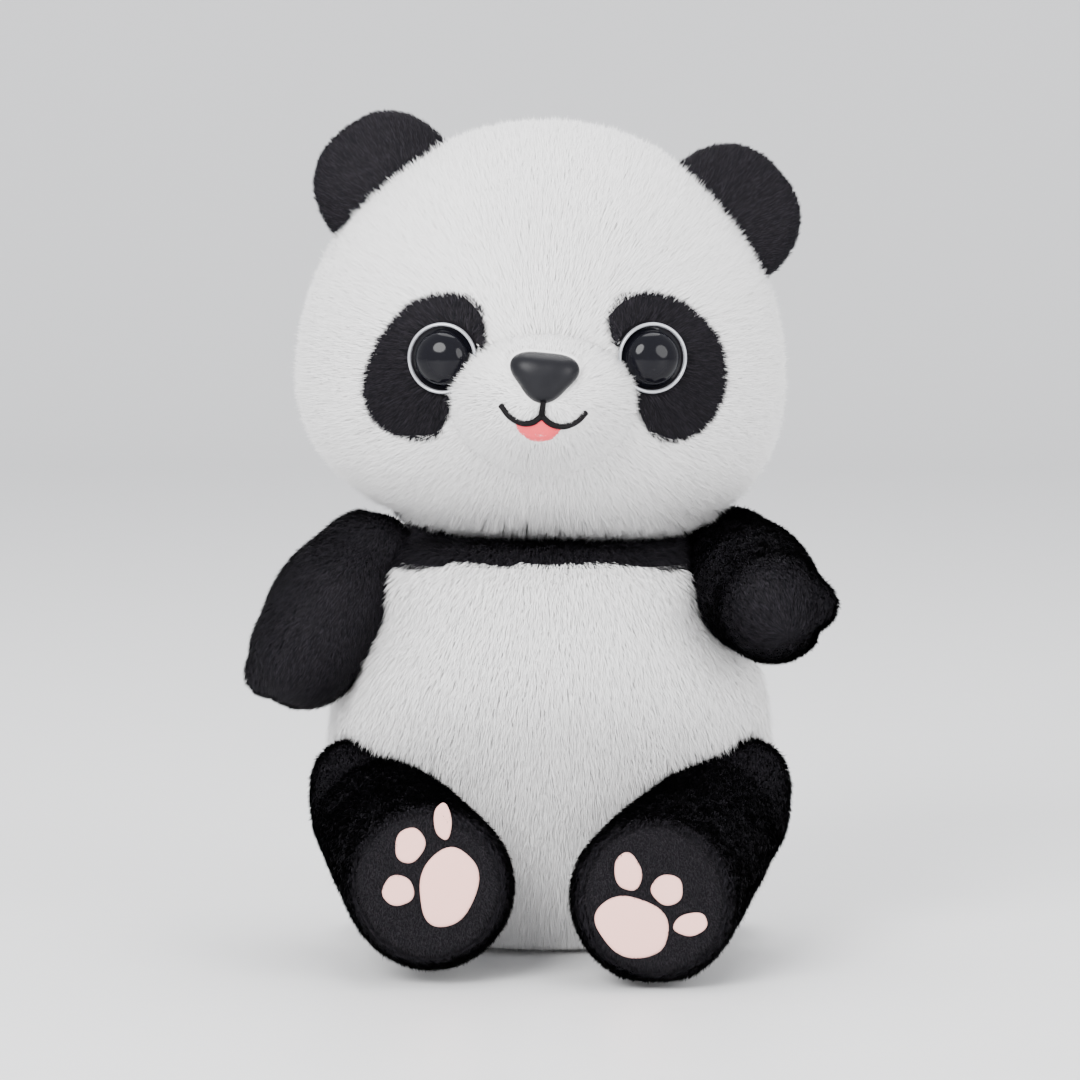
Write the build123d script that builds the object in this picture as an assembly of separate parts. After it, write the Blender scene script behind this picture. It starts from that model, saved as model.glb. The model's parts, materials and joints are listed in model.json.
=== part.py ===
from build123d import *
import math
import os

# Seated plush panda, sewn from pile fabric and filled with loose fibre. Millimetres.
# +Z is up and the toy looks along -Y, so its own left side is at +X.
# The origin is the middle of the flat seat that it rests on.

# ---- fabric, filling and fits ----
PILE_FABRIC = 2.6  # white pile fabric, backing and packed pile
LIMB_FABRIC = 2.0  # shorter black pile of arms, legs and ears
STUFFING_GAP = 0.3  # between a fabric shell and its filling
JOINT_GAP = 0.8  # between soft pieces that move past each other
TRIM_GAP = 0.2  # between hard trim and the fabric round it

# ---- the height that everything above the seat follows ----
TORSO_HEIGHT = 138.0

# ---- head ----
HEAD_CENTRE = Vector(-3.4, 0, TORSO_HEIGHT + 56)
HEAD_HALF_WIDTH = 81.0
HEAD_HALF_DEPTH = 65.0
CROWN_HEIGHT = 85.0  # from the widest line up to the top
JAW_DEPTH = 53.0  # from the widest line down to the chin
HEAD_ROLL = 5.5  # the head leans towards the toy's left
EAR_LEAN = 44.0  # from the top of the head down to each ear
EAR_HALF_WIDTH = 23.0
EAR_HEIGHT = 24.5
EAR_HALF_THICKNESS = 7.0
EAR_SINK = 1.5  # how deep the fold line lies under the head's surface

# ---- face ----
EYE_SPACING = 69.0
EYE_MIDDLE_X = -1.0
EYE_HEIGHT = TORSO_HEIGHT + 65.5
EYE_TURN = 14.0  # each eye looks this far out from straight ahead
EYE_RING_RADIUS = 12.0
EYE_DOME_RADIUS = 9.4
EYE_DOME_HEIGHT = 5.0
EYE_FLANGE = 1.6
SHANK_RADIUS = 2.6
SHANK_LENGTH = 12.0
WASHER_RADIUS = 7.5
WASHER_THICKNESS = 1.6
PATCH_HALF_WIDTH = 19.5
PATCH_HALF_HEIGHT = 25.0
PATCH_LEAN = 24.0  # the patches' tops lean towards the nose
PATCH_OUTWARD = 6.0  # from the eye's middle out to the patch's middle
PATCH_DROP = 3.5  # from the eye's middle down to the patch's middle
MUZZLE_CENTRE = Vector(-2.5, -57, TORSO_HEIGHT + 52)
MUZZLE_HALF_WIDTH = 28.0
MUZZLE_HALF_HEIGHT = 22.0
MUZZLE_HALF_DEPTH = 27.0
NOSE_HALF_WIDTH = 10.8
NOSE_HEIGHT = 16.0
NOSE_DEPTH = 7.0
NOSE_TOP_CORNER = 4.2
NOSE_LOW_CORNER = 3.0
NOSE_TOP = TORSO_HEIGHT + 68.6
NOSE_FRONT_Y = -87.5
NOSE_SHANK_LENGTH = 9.0
NOSE_WASHER_RADIUS = 4.8
MOUTH_THREAD = 1.7
MOUTH_RELIEF = 0.8
MOUTH_DROP = 3.4  # from the tip of the nose down to the middle of the smile
MOUTH_SAG = 2.4
MOUTH_CORNER_RISE = 2.6
MOUTH_HALF_WIDTH = 14.8
TONGUE_HALF_WIDTH = 7.0
TONGUE_LENGTH = 7.5

# ---- torso ----
BASE_HALF_WIDTH = 50.0
BASE_HALF_DEPTH = 40.0
SEAT_HALF_WIDTH = 69.0
HIP_HALF_WIDTH = 75.5
WAIST_HALF_WIDTH = 70.2
CHEST_HALF_WIDTH = 59.0
YOKE_HALF_WIDTH = 50.7
COLLAR_HALF_WIDTH = 40.0
BELLY_FRONT = 57.0  # how far the belly stands out in front of the middle
BACK_DEPTH = 59.0
TORSO_LEVELS = (  # share of the height, half width, shares of the belly's and the back's reach
    (0.10, SEAT_HALF_WIDTH, 0.84, 0.95),
    (0.30, HIP_HALF_WIDTH, 0.89, 1.00),
    (0.48, HIP_HALF_WIDTH, 0.95, 1.00),
    (0.66, WAIST_HALF_WIDTH, 1.00, 0.94),
    (0.81, CHEST_HALF_WIDTH, 0.93, 0.85),
    (0.94, YOKE_HALF_WIDTH, 0.80, 0.74),
    (1.00, COLLAR_HALF_WIDTH, 0.50, 0.50),
)
YOKE_EDGE_Z = TORSO_HEIGHT - 10
BASE_EDGE_Z = 5.0
POUCH_HALF_WIDTH = 34.0
POUCH_HALF_DEPTH = 24.0
POUCH_HALF_HEIGHT = 9.0
POUCH_CLOTH = 0.8
STITCH_COUNT = 7
STITCH_LENGTH = 7.0
STITCH_RADIUS = 0.7
STITCH_PITCH = 6.0
STITCH_LOWEST_Z = 52.0

# ---- neck ----
NOD_PIVOT_Z = TORSO_HEIGHT + 28
NECK_BALL_RADIUS = 24.0
NECK_STEM_RADIUS = 16.0
NECK_ROOT_Z = TORSO_HEIGHT - 22

# ---- arms ----
SHOULDER_X = 62.0
SHOULDER_Z = TORSO_HEIGHT - 8
ARM_RADIUS = 18.5
RIGHT_PAW = Vector(-84, -20, TORSO_HEIGHT - 38)
LEFT_PAW = Vector(74, -45, TORSO_HEIGHT - 18.5)
SHOULDER_PLUG_RADIUS = 9.0
ARM_SWING_BACK = 15.0  # how far each arm swings back and down, in degrees
ARM_SWING_UP = {"right": 40.0, "left": 30.0}
ARM_TUCK = 3.0  # how far an arm presses in towards the body
ARM_STEPS = 5  # the hollow for an arm is cut at the ends of its swing and between them

# ---- legs ----
HIP_X = 60.0
HIP_Y = -22.0
HIP_Z = 46.0
HIP_RADIUS = 21.0
FOOT_RADIUS = 26.5
RIGHT_FOOT = Vector(-40, -94, 32.5)
LEFT_FOOT = Vector(34, -101, 29)
SOLE_OFFSET = 10.0  # from the middle of the foot forward to the face of the sole
SOLE_RADIUS = 23.0
SOLE_TILT = 8.0
LEG_DROP = -8.0  # lowest and highest swing of a leg, in degrees
LEG_LIFT = 18.0
LEG_STEPS = 3  # the hollow for a leg is cut at the ends of its swing and between them
PAD_THICKNESS = 0.9
MAIN_PAD_HALF_LENGTH = 12.6
MAIN_PAD_HALF_WIDTH = 8.6
TOE_PAD_HALF_LENGTH = 5.6
TOE_PAD_HALF_WIDTH = 4.4
TOE_RING_RADIUS = 19.0  # from the middle of the main pad out to the toe pads
MAIN_PAD_OFFSET = 6.0  # from the middle of the sole to the middle of the main pad
TOE_SPREAD = 42.0
PRINT_TURN = 40.0  # each paw print is turned outwards

# ---- tail ----
TAIL_RADIUS = 13.0
TAIL_Z = 28.0
TAIL_SWAY = 2.4  # how far the middle of the tail moves to either side of rest

SIDES = {"right": -1, "left": 1}
BIG = 400.0
POLE_TILT = (50, 25, 0)  # turns each ellipsoid's poles away from the planes that cut it
HEAD_LEVELS = 6  # sections from the widest line to the top, and as many to the chin
HEAD_LAST_LEVEL = 83.0  # the angle of the last section, above it the head is flat


def save(node, *solids):
    """Writes the solids of one sub-part to its own file."""
    shape = Compound(children=list(solids)) if len(solids) > 1 else solids[0]
    export_step(shape, f"parts/{node}.step")


def the_solid(shape):
    """The one solid in a shape, the largest where a cut leaves crumbs."""
    return max(shape.solids(), key=lambda solid: solid.volume)


def round_form(half_x, half_y, half_z):
    """An ellipsoid round the origin, its poles away from the planes that cut it."""
    return scale(Rot(*POLE_TILT) * Sphere(1), by=(half_x, half_y, half_z))


def ellipsoid(centre, half_x, half_y, half_z):
    return Pos(centre) * round_form(half_x, half_y, half_z)


def capsule(start, start_radius, end, end_radius):
    """Two balls and the cone that touches both."""
    line = end - start
    length = line.length
    lean = math.asin((start_radius - end_radius) / length)
    low = Vector(start_radius * math.cos(lean), start_radius * math.sin(lean))
    high = Vector(end_radius * math.cos(lean), length + end_radius * math.sin(lean))
    outline = (
        ThreePointArc(
            (0, -start_radius),
            (start_radius * math.cos(lean / 2 - math.pi / 4), start_radius * math.sin(lean / 2 - math.pi / 4)),
            low,
        )
        + Line(low, high)
        + ThreePointArc(
            high,
            (
                end_radius * math.cos(lean / 2 + math.pi / 4),
                length + end_radius * math.sin(lean / 2 + math.pi / 4),
            ),
            (0, length + end_radius),
        )
        + Line((0, length + end_radius), (0, -start_radius))
    )
    turned = revolve(Plane.XZ * make_face(outline), Axis.Z)
    return Plane(origin=start, z_dir=line) * turned


def half_space(origin, normal):
    """A large block that fills the side of a plane that its normal points to."""
    block = Box(BIG, BIG, BIG, align=(Align.CENTER, Align.CENTER, Align.MIN))
    return Plane(origin=origin, z_dir=normal) * block


# ---------------------------------------------------------------- head forms

HEAD_FRAME = Pos(HEAD_CENTRE) * Rot(0, HEAD_ROLL, 0)
HEAD_SIDEWAYS = Vector(1, 0, 0).rotate(Axis.Y, HEAD_ROLL)
NOD_PIVOT = Vector(0, 0, NOD_PIVOT_Z)


def head_form(inset):
    """The head, taken in by inset all round: a high crown over a shallow jaw."""
    half_width = HEAD_HALF_WIDTH - inset
    half_depth = HEAD_HALF_DEPTH - inset
    sections = []
    for step in range(-HEAD_LEVELS, HEAD_LEVELS + 1):
        angle = math.radians(HEAD_LAST_LEVEL) * step / HEAD_LEVELS
        height = (CROWN_HEIGHT if step > 0 else JAW_DEPTH) - inset
        level = Plane.XY.offset(height * math.sin(angle))
        sections.append(level * Ellipse(half_width * math.cos(angle), half_depth * math.cos(angle)))
    return HEAD_FRAME * loft(sections)


def neck_socket(gap):
    """The room in the head for the neck's ball and stem."""
    radius = NECK_BALL_RADIUS + gap
    return Pos(NOD_PIVOT) * (Sphere(radius) + Cylinder(radius, BIG, align=(Align.CENTER, Align.CENTER, Align.MAX)))


def ear_plane(side):
    """The frame of an ear: X along its fold line, Y towards the back, Z away from the head."""
    lean = math.radians(EAR_LEAN)
    out = Vector(side * math.sin(lean), 0, math.cos(lean))
    reach = 1 / math.sqrt((out.X / HEAD_HALF_WIDTH) ** 2 + (out.Z / CROWN_HEIGHT) ** 2)
    local = Plane(origin=out * (reach - EAR_SINK), x_dir=(out.Z, 0, -out.X), z_dir=out)
    return Plane(HEAD_FRAME * local.location)


def ear_form(side, inset):
    """A flat half disc on a round root, so that it can fold about its base line."""
    half_width = EAR_HALF_WIDTH - inset
    half_thickness = EAR_HALF_THICKNESS - inset
    flap = round_form(half_width, half_thickness, EAR_HEIGHT - inset)
    root = round_form(half_width, half_thickness, half_thickness)
    above = Box(BIG, BIG, BIG, align=(Align.CENTER, Align.CENTER, Align.MIN))
    return ear_plane(side) * ((flap & above) + (root - above))


def ear_pocket(side, gap):
    half_thickness = EAR_HALF_THICKNESS + gap
    return ear_plane(side) * round_form(EAR_HALF_WIDTH + gap, half_thickness, half_thickness)


def surface_y(x, z):
    """The Y of the front of the head above the point X, Z."""
    roll = math.radians(HEAD_ROLL)
    right = (x - HEAD_CENTRE.X) * math.cos(roll) - (z - HEAD_CENTRE.Z) * math.sin(roll)
    up = (x - HEAD_CENTRE.X) * math.sin(roll) + (z - HEAD_CENTRE.Z) * math.cos(roll)
    height = CROWN_HEIGHT if up > 0 else JAW_DEPTH
    left_over = 1 - (right / HEAD_HALF_WIDTH) ** 2 - (up / height) ** 2
    return -HEAD_HALF_DEPTH * math.sqrt(left_over)


def eye_plane(side):
    """The frame of an eye: its middle on the patch, Z straight out of the eye."""
    x = EYE_MIDDLE_X + side * EYE_SPACING / 2
    turn = math.radians(EYE_TURN)
    origin = Vector(x, surface_y(x, EYE_HEIGHT), EYE_HEIGHT)
    return Plane(origin=origin, x_dir=(math.cos(turn), side * math.sin(turn), 0),
                 z_dir=(side * math.sin(turn), -math.cos(turn), 0))


def patch_prism(side):
    """A bar with the eye patch's outline, through the front of the head."""
    x = EYE_MIDDLE_X + side * (EYE_SPACING / 2 + PATCH_OUTWARD)
    frame = Plane(origin=(x, -HEAD_HALF_DEPTH / 3, EYE_HEIGHT - PATCH_DROP), x_dir=(1, 0, 0), z_dir=(0, -1, 0))
    outline = Rot(0, 0, side * PATCH_LEAN) * Ellipse(PATCH_HALF_WIDTH, PATCH_HALF_HEIGHT)
    return extrude(frame * outline, BIG)


def muzzle_form(inset):
    return ellipsoid(MUZZLE_CENTRE, MUZZLE_HALF_WIDTH - inset, MUZZLE_HALF_DEPTH - inset, MUZZLE_HALF_HEIGHT - inset)


# ---------------------------------------------------------------- face pieces

def make_eye(side):
    """Domed eye on a shank, the silver rim round it and the locking washer inside."""
    frame = eye_plane(side)
    cap_radius = (EYE_DOME_RADIUS ** 2 + EYE_DOME_HEIGHT ** 2) / (2 * EYE_DOME_HEIGHT)
    cap = Pos(0, 0, EYE_FLANGE + EYE_DOME_HEIGHT - cap_radius) * Sphere(cap_radius)
    flange = Cylinder(EYE_DOME_RADIUS, EYE_FLANGE, align=(Align.CENTER, Align.CENTER, Align.MIN))
    cover = Pos(0, 0, EYE_FLANGE) * Cylinder(EYE_DOME_RADIUS, BIG, align=(Align.CENTER, Align.CENTER, Align.MIN))
    shank = Cylinder(SHANK_RADIUS, SHANK_LENGTH, align=(Align.CENTER, Align.CENTER, Align.MAX))
    dome = frame * (flange + (cap & cover) + shank)
    ring = Cylinder(EYE_RING_RADIUS, EYE_FLANGE, align=(Align.CENTER, Align.CENTER, Align.MIN))
    ring -= Cylinder(EYE_DOME_RADIUS + TRIM_GAP / 4, BIG)
    ring = frame * ring
    washer_depth = PILE_FABRIC + 2 * WASHER_THICKNESS
    washer = Pos(0, 0, -washer_depth) * Cylinder(
        WASHER_RADIUS, WASHER_THICKNESS, align=(Align.CENTER, Align.CENTER, Align.MAX)
    )
    washer = frame * (washer - Cylinder(SHANK_RADIUS, BIG))
    return dome, ring, washer


def eye_room(side):
    """What the fabric leaves free for an eye: a seat for the rim and a hole for the shank."""
    seat = Cylinder(EYE_RING_RADIUS + TRIM_GAP, BIG, align=(Align.CENTER, Align.CENTER, Align.MIN))
    hole = Cylinder(SHANK_RADIUS + TRIM_GAP, 2 * SHANK_LENGTH)
    return eye_plane(side) * (seat + hole)


def washer_room(side):
    """What the filling leaves free behind an eye."""
    depth = SHANK_LENGTH + STUFFING_GAP
    return eye_plane(side) * Cylinder(
        WASHER_RADIUS + STUFFING_GAP, depth, align=(Align.CENTER, Align.CENTER, Align.MAX)
    )


def nose_frame():
    """The nose's frame: X across the nose, Y up it, Z straight out of the face."""
    flat = Plane(origin=(MUZZLE_CENTRE.X, NOSE_FRONT_Y, NOSE_TOP - NOSE_HEIGHT / 2), x_dir=(1, 0, 0),
                 z_dir=(0, -1, 0))
    return flat * Rot(0, 0, -HEAD_ROLL)


def nose_outline(grow=0.0):
    """A triangle with round corners, point down."""
    top_y = NOSE_HEIGHT / 2 - NOSE_TOP_CORNER
    top_x = NOSE_HALF_WIDTH - NOSE_TOP_CORNER
    low_y = NOSE_LOW_CORNER - NOSE_HEIGHT / 2
    corners = (
        Pos(-top_x, top_y) * Circle(NOSE_TOP_CORNER + grow),
        Pos(top_x, top_y) * Circle(NOSE_TOP_CORNER + grow),
        Pos(0, low_y) * Circle(NOSE_LOW_CORNER + grow),
    )
    return make_hull([edge for corner in corners for edge in corner.edges()])


def make_nose():
    """Moulded nose on a shank, with its locking washer inside the muzzle."""
    body = extrude(nose_outline(), -NOSE_DEPTH)
    body = fillet(body.faces().sort_by(Axis.Z)[-1].edges(), NOSE_DEPTH / 3)
    shank = Pos(0, 0, -NOSE_DEPTH) * Cylinder(
        SHANK_RADIUS, NOSE_SHANK_LENGTH, align=(Align.CENTER, Align.CENTER, Align.MAX)
    )
    washer = Pos(0, 0, -NOSE_DEPTH - NOSE_SHANK_LENGTH) * Cylinder(
        NOSE_WASHER_RADIUS, WASHER_THICKNESS, align=(Align.CENTER, Align.CENTER, Align.MIN)
    )
    washer -= Cylinder(SHANK_RADIUS, BIG)
    return nose_frame() * (body + shank), nose_frame() * washer


def nose_room(gap):
    """What the muzzle leaves free for the nose, its shank and its washer."""
    seat = Pos(0, 0, -NOSE_DEPTH) * extrude(nose_outline(gap), BIG)
    shaft = Cylinder(SHANK_RADIUS + gap, 2 * (NOSE_DEPTH + NOSE_SHANK_LENGTH + gap))
    return nose_frame() * (seat + shaft)


def nose_washer_room():
    depth = NOSE_DEPTH + NOSE_SHANK_LENGTH + STUFFING_GAP
    return nose_frame() * Pos(0, 0, -depth) * Cylinder(
        NOSE_WASHER_RADIUS + STUFFING_GAP,
        WASHER_THICKNESS + 2 * STUFFING_GAP,
        align=(Align.CENTER, Align.CENTER, Align.MIN),
    )


def mouth_prism():
    """A bar with the outline of the smile: one stitch down and a curve to each side."""
    middle = Vector(0, -NOSE_HEIGHT / 2 - MOUTH_DROP)
    strokes = [Line((0, -NOSE_HEIGHT / 2 + MOUTH_THREAD / 2), middle)]
    for side in SIDES.values():
        low = middle + Vector(side * MOUTH_HALF_WIDTH * 0.45, -MOUTH_SAG)
        corner = middle + Vector(side * MOUTH_HALF_WIDTH, MOUTH_CORNER_RISE)
        strokes.append(Spline(middle, low, corner))
    bars = [extrude(nose_frame() * trace(stroke, MOUTH_THREAD), BIG / 4, both=True) for stroke in strokes]
    return bars[0] + bars[1] + bars[2]


def tongue_prism():
    """A bar with the tongue's outline, hanging from the smile."""
    root = Pos(0, -NOSE_HEIGHT / 2 - MOUTH_DROP)
    below = root * Rectangle(BIG, BIG, align=(Align.CENTER, Align.MAX))
    shape = (root * Ellipse(TONGUE_HALF_WIDTH, TONGUE_LENGTH)) & below
    return extrude(nose_frame() * shape, BIG / 4, both=True)


def make_face_trim():
    """Mouth thread and tongue, laid on the front of the muzzle."""
    band = muzzle_form(-MOUTH_RELIEF) - muzzle_form(0)
    band &= half_space(MUZZLE_CENTRE, (0, -1, 0))
    band -= nose_room(TRIM_GAP)
    smile = mouth_prism()
    thread = the_solid(band & smile)
    tongue = the_solid((band & tongue_prism()) - smile)
    return thread, tongue


def make_head(pieces):
    outer = head_form(0)
    lining = head_form(PILE_FABRIC)
    socket = neck_socket(JOINT_GAP)
    shell = outer - lining - socket
    for side in SIDES.values():
        shell -= ear_pocket(side, JOINT_GAP)
    front = half_space(HEAD_CENTRE, (0, -1, 0))
    face = shell & front
    back = shell - front
    left_half = half_space(HEAD_CENTRE, HEAD_SIDEWAYS)
    for name, side in SIDES.items():
        patch = patch_prism(side)
        pieces[f"eye_patch_{name}"] = the_solid((face & patch) - eye_room(side))
        half = face & left_half if side > 0 else face - left_half
        pieces[f"face_{name}"] = the_solid(half - patch - eye_room(side))
        half = back & left_half if side > 0 else back - left_half
        pieces[f"head_back_{name}"] = the_solid(half)
        dome, ring, washer = make_eye(side)
        pieces[f"eye_dome_{name}"] = dome
        pieces[f"eye_ring_{name}"] = ring
        pieces[f"eye_washer_{name}"] = washer
    filling = head_form(PILE_FABRIC + STUFFING_GAP) - socket
    for side in SIDES.values():
        filling -= ear_pocket(side, JOINT_GAP + STUFFING_GAP)
        filling -= washer_room(side)
    pieces["head_stuffing"] = the_solid(filling)
    cover = muzzle_form(0) - muzzle_form(PILE_FABRIC) - outer - nose_room(TRIM_GAP)
    padding = muzzle_form(PILE_FABRIC + STUFFING_GAP) - head_form(-STUFFING_GAP) - nose_room(STUFFING_GAP)
    padding -= nose_washer_room()
    for side in SIDES.values():
        cover -= eye_room(side)
        padding -= eye_room(side)
    pieces["muzzle_cover"] = the_solid(cover)
    pieces["muzzle_stuffing"] = the_solid(padding)
    pieces["nose"], pieces["nose_washer"] = make_nose()
    pieces["mouth_thread"], pieces["tongue"] = make_face_trim()


def make_ear(pieces, name, side):
    outer = ear_form(side, 0)
    shell = outer - ear_form(side, LIMB_FABRIC)
    behind = half_space(ear_plane(side).origin, (0, 1, 0))
    pieces[f"ear_back_{name}"] = the_solid(shell & behind)
    pieces[f"ear_front_{name}"] = the_solid(shell - behind)
    pieces[f"ear_padding_{name}"] = the_solid(ear_form(side, LIMB_FABRIC + STUFFING_GAP))


# ---------------------------------------------------------------- torso

def torso_section(z, half_width, front, back, inset):
    """One level of the torso: how wide it is, and how far it reaches forward and back."""
    level = Plane.XY.offset(z) * Pos(0, (back - front) / 2)
    return level * Ellipse(half_width - inset, (front + back) / 2 - inset)


def torso_pear(inset):
    """The torso before the limbs are let into it."""
    sections = [torso_section(inset, BASE_HALF_WIDTH, BASE_HALF_DEPTH, BASE_HALF_DEPTH, inset)]
    for height_share, half_width, front_share, back_share in TORSO_LEVELS:
        z = min(height_share * TORSO_HEIGHT, TORSO_HEIGHT - inset)
        sections.append(torso_section(z, half_width, front_share * BELLY_FRONT, back_share * BACK_DEPTH, inset))
    return loft(sections)


def shoulder(side):
    return Vector(side * SHOULDER_X, 0, SHOULDER_Z)


def hip(side):
    return Vector(side * HIP_X, HIP_Y, HIP_Z)


def foot(side):
    return LEFT_FOOT if side > 0 else RIGHT_FOOT


def paw(side):
    return LEFT_PAW if side > 0 else RIGHT_PAW


def leg_at(side, gap, lift):
    """A leg with gap all round, lifted by an angle about its hip."""
    root = hip(side)
    leg = capsule(root, HIP_RADIUS + gap, foot(side), FOOT_RADIUS + gap)
    return leg.rotate(Axis(root, (1, 0, 0)), -lift)


def arm_at(side, gap, swing):
    """A tucked-in arm with gap all round, swung down and back by an angle about its shoulder."""
    root = shoulder(side)
    line = paw(side) - root
    arm = capsule(root, ARM_RADIUS + gap, paw(side), ARM_RADIUS + gap)
    across = Vector(0, -line.Z, line.Y) * side
    arm = arm.rotate(Axis(root, across), ARM_TUCK)
    return arm.rotate(Axis(root, (1, 0, 0)), swing)


def tail_middle():
    return Vector(0, BACK_DEPTH + TAIL_RADIUS / 2, TAIL_Z)


def torso_form(inset):
    """The torso with hollows where the arms, the legs, the tail and the neck sit."""
    form = torso_pear(inset)
    for name, side in SIDES.items():
        for step in range(ARM_STEPS + 1):
            swing = ARM_SWING_BACK - (ARM_SWING_BACK + ARM_SWING_UP[name]) * step / ARM_STEPS
            form -= arm_at(side, JOINT_GAP + inset, swing)
        for step in range(LEG_STEPS + 1):
            lift = LEG_DROP + (LEG_LIFT - LEG_DROP) * step / LEG_STEPS
            form -= leg_at(side, JOINT_GAP + inset, lift)
    form -= Pos(tail_middle()) * Sphere(TAIL_RADIUS + TAIL_SWAY + JOINT_GAP + inset)
    return form


def neck_hole(gap):
    return Pos(0, 0, NECK_ROOT_Z - gap) * Cylinder(
        NECK_STEM_RADIUS + gap, BIG, align=(Align.CENTER, Align.CENTER, Align.MIN)
    )


def make_torso(pieces):
    neck = neck_hole(JOINT_GAP)
    shell = torso_form(0) - torso_form(PILE_FABRIC) - neck
    yoke = shell & half_space((0, 0, YOKE_EDGE_Z), (0, 0, 1))
    base = shell - half_space((0, 0, BASE_EDGE_Z), (0, 0, 1))
    body = shell - half_space((0, 0, YOKE_EDGE_Z), (0, 0, 1))
    body &= half_space((0, 0, BASE_EDGE_Z), (0, 0, 1))
    front = half_space((0, 0, 0), (0, -1, 0))
    left = half_space((0, 0, 0), (1, 0, 0))
    stitches = []
    for index in range(STITCH_COUNT):
        z = STITCH_LOWEST_Z + index * STITCH_PITCH
        y = torso_back_y(z)
        stitches.append(Pos(0, y - STITCH_RADIUS, z) * Rot(0, 90, 0) * Cylinder(STITCH_RADIUS, STITCH_LENGTH))
    pieces["yoke_front"] = the_solid(yoke & front)
    pieces["yoke_back"] = the_solid(yoke - front)
    pieces["base_panel"] = the_solid(base)
    pieces["belly_panel"] = the_solid(body & front)
    back = body - front
    for stitch in stitches:
        back -= stitch
    pieces["back_panel_left"] = the_solid(back & left)
    pieces["back_panel_right"] = the_solid(back - left)
    pieces["closing_stitches"] = stitches
    pouch_middle = Vector(0, 0, PILE_FABRIC + 2 * STUFFING_GAP + POUCH_HALF_HEIGHT)
    pouch = ellipsoid(pouch_middle, POUCH_HALF_WIDTH, POUCH_HALF_DEPTH, POUCH_HALF_HEIGHT)
    beads = ellipsoid(
        pouch_middle,
        POUCH_HALF_WIDTH - POUCH_CLOTH,
        POUCH_HALF_DEPTH - POUCH_CLOTH,
        POUCH_HALF_HEIGHT - POUCH_CLOTH,
    )
    room = ellipsoid(
        pouch_middle,
        POUCH_HALF_WIDTH + STUFFING_GAP,
        POUCH_HALF_DEPTH + STUFFING_GAP,
        POUCH_HALF_HEIGHT + STUFFING_GAP,
    )
    pieces["bead_pouch"] = the_solid(pouch - beads)
    pieces["bead_fill"] = beads
    pieces["torso_stuffing"] = the_solid(torso_form(PILE_FABRIC + STUFFING_GAP) - neck - room)
    swivel = Pos(NOD_PIVOT) * Sphere(NECK_BALL_RADIUS)
    stem = Pos(0, 0, NECK_ROOT_Z) * Cylinder(
        NECK_STEM_RADIUS, NOD_PIVOT_Z - NECK_ROOT_Z, align=(Align.CENTER, Align.CENTER, Align.MIN)
    )
    pieces["neck_core"] = the_solid(swivel + stem)


def torso_back_y(z):
    """How far back the middle of the torso's back lies at a level."""
    cut = torso_pear(0) & (Pos(0, BIG / 2, z) * Box(2, BIG, 0.2))
    return cut.bounding_box().max.Y


# ---------------------------------------------------------------- limbs

def make_arm(pieces, name, side):
    root = shoulder(side)
    end = paw(side)

    def form(inset):
        return capsule(root, ARM_RADIUS - inset, end, ARM_RADIUS - inset)

    line = (end - root).normalized()
    outward = Vector(side, 0, 0)
    outward = outward - line * outward.dot(line)
    outer_side = half_space(root, outward)
    shell = form(0) - form(LIMB_FABRIC)
    plug_room = Pos(root) * Sphere(SHOULDER_PLUG_RADIUS + STUFFING_GAP)
    pieces[f"arm_outer_{name}"] = the_solid(shell & outer_side)
    pieces[f"arm_inner_{name}"] = the_solid(shell - outer_side)
    pieces[f"arm_stuffing_{name}"] = the_solid(form(LIMB_FABRIC + STUFFING_GAP) - plug_room)
    pieces[f"shoulder_plug_{name}"] = Pos(root) * Sphere(SHOULDER_PLUG_RADIUS)


def sole_plane(side):
    """The frame of a sole: X towards the toy's left, Y up the sole, Z out of it."""
    tilt = math.radians(SOLE_TILT)
    out = Vector(0, -math.cos(tilt), math.sin(tilt))
    return Plane(origin=foot(side) + out * SOLE_OFFSET, x_dir=(1, 0, 0), z_dir=out)


def make_leg(pieces, name, side):
    root = hip(side)
    sole = sole_plane(side)

    def form(inset):
        whole = capsule(root, HIP_RADIUS - inset, foot(side), FOOT_RADIUS - inset)
        return whole - half_space(sole.origin - sole.z_dir * inset, sole.z_dir)

    disc = sole * Cylinder(SOLE_RADIUS, LIMB_FABRIC, align=(Align.CENTER, Align.CENTER, Align.MAX))
    pieces[f"leg_cover_{name}"] = the_solid(form(0) - form(LIMB_FABRIC) - disc)
    pieces[f"leg_sole_{name}"] = the_solid(disc)
    pieces[f"leg_stuffing_{name}"] = the_solid(form(LIMB_FABRIC + STUFFING_GAP))
    print_frame = sole * Rot(0, 0, -side * PRINT_TURN)
    main = Pos(0, -MAIN_PAD_OFFSET) * Ellipse(MAIN_PAD_HALF_LENGTH, MAIN_PAD_HALF_WIDTH)
    pieces[f"leg_main_pad_{name}"] = the_solid(extrude(print_frame * main, PAD_THICKNESS))
    toes = []
    for step in (-1, 0, 1):
        spread = Pos(0, -MAIN_PAD_OFFSET) * Rot(0, 0, step * TOE_SPREAD) * Pos(0, TOE_RING_RADIUS)
        toe = spread * Ellipse(TOE_PAD_HALF_WIDTH, TOE_PAD_HALF_LENGTH)
        toes.append(the_solid(extrude(print_frame * toe, PAD_THICKNESS)))
    pieces[f"leg_toe_pads_{name}"] = toes


def make_tail(pieces):
    outside = Pos(tail_middle()) * Sphere(TAIL_RADIUS)
    core = Pos(tail_middle()) * Sphere(TAIL_RADIUS - PILE_FABRIC)
    pieces["tail_cover"] = the_solid(outside - core)
    pieces["tail_stuffing"] = Pos(tail_middle()) * Sphere(TAIL_RADIUS - PILE_FABRIC - STUFFING_GAP)


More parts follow.
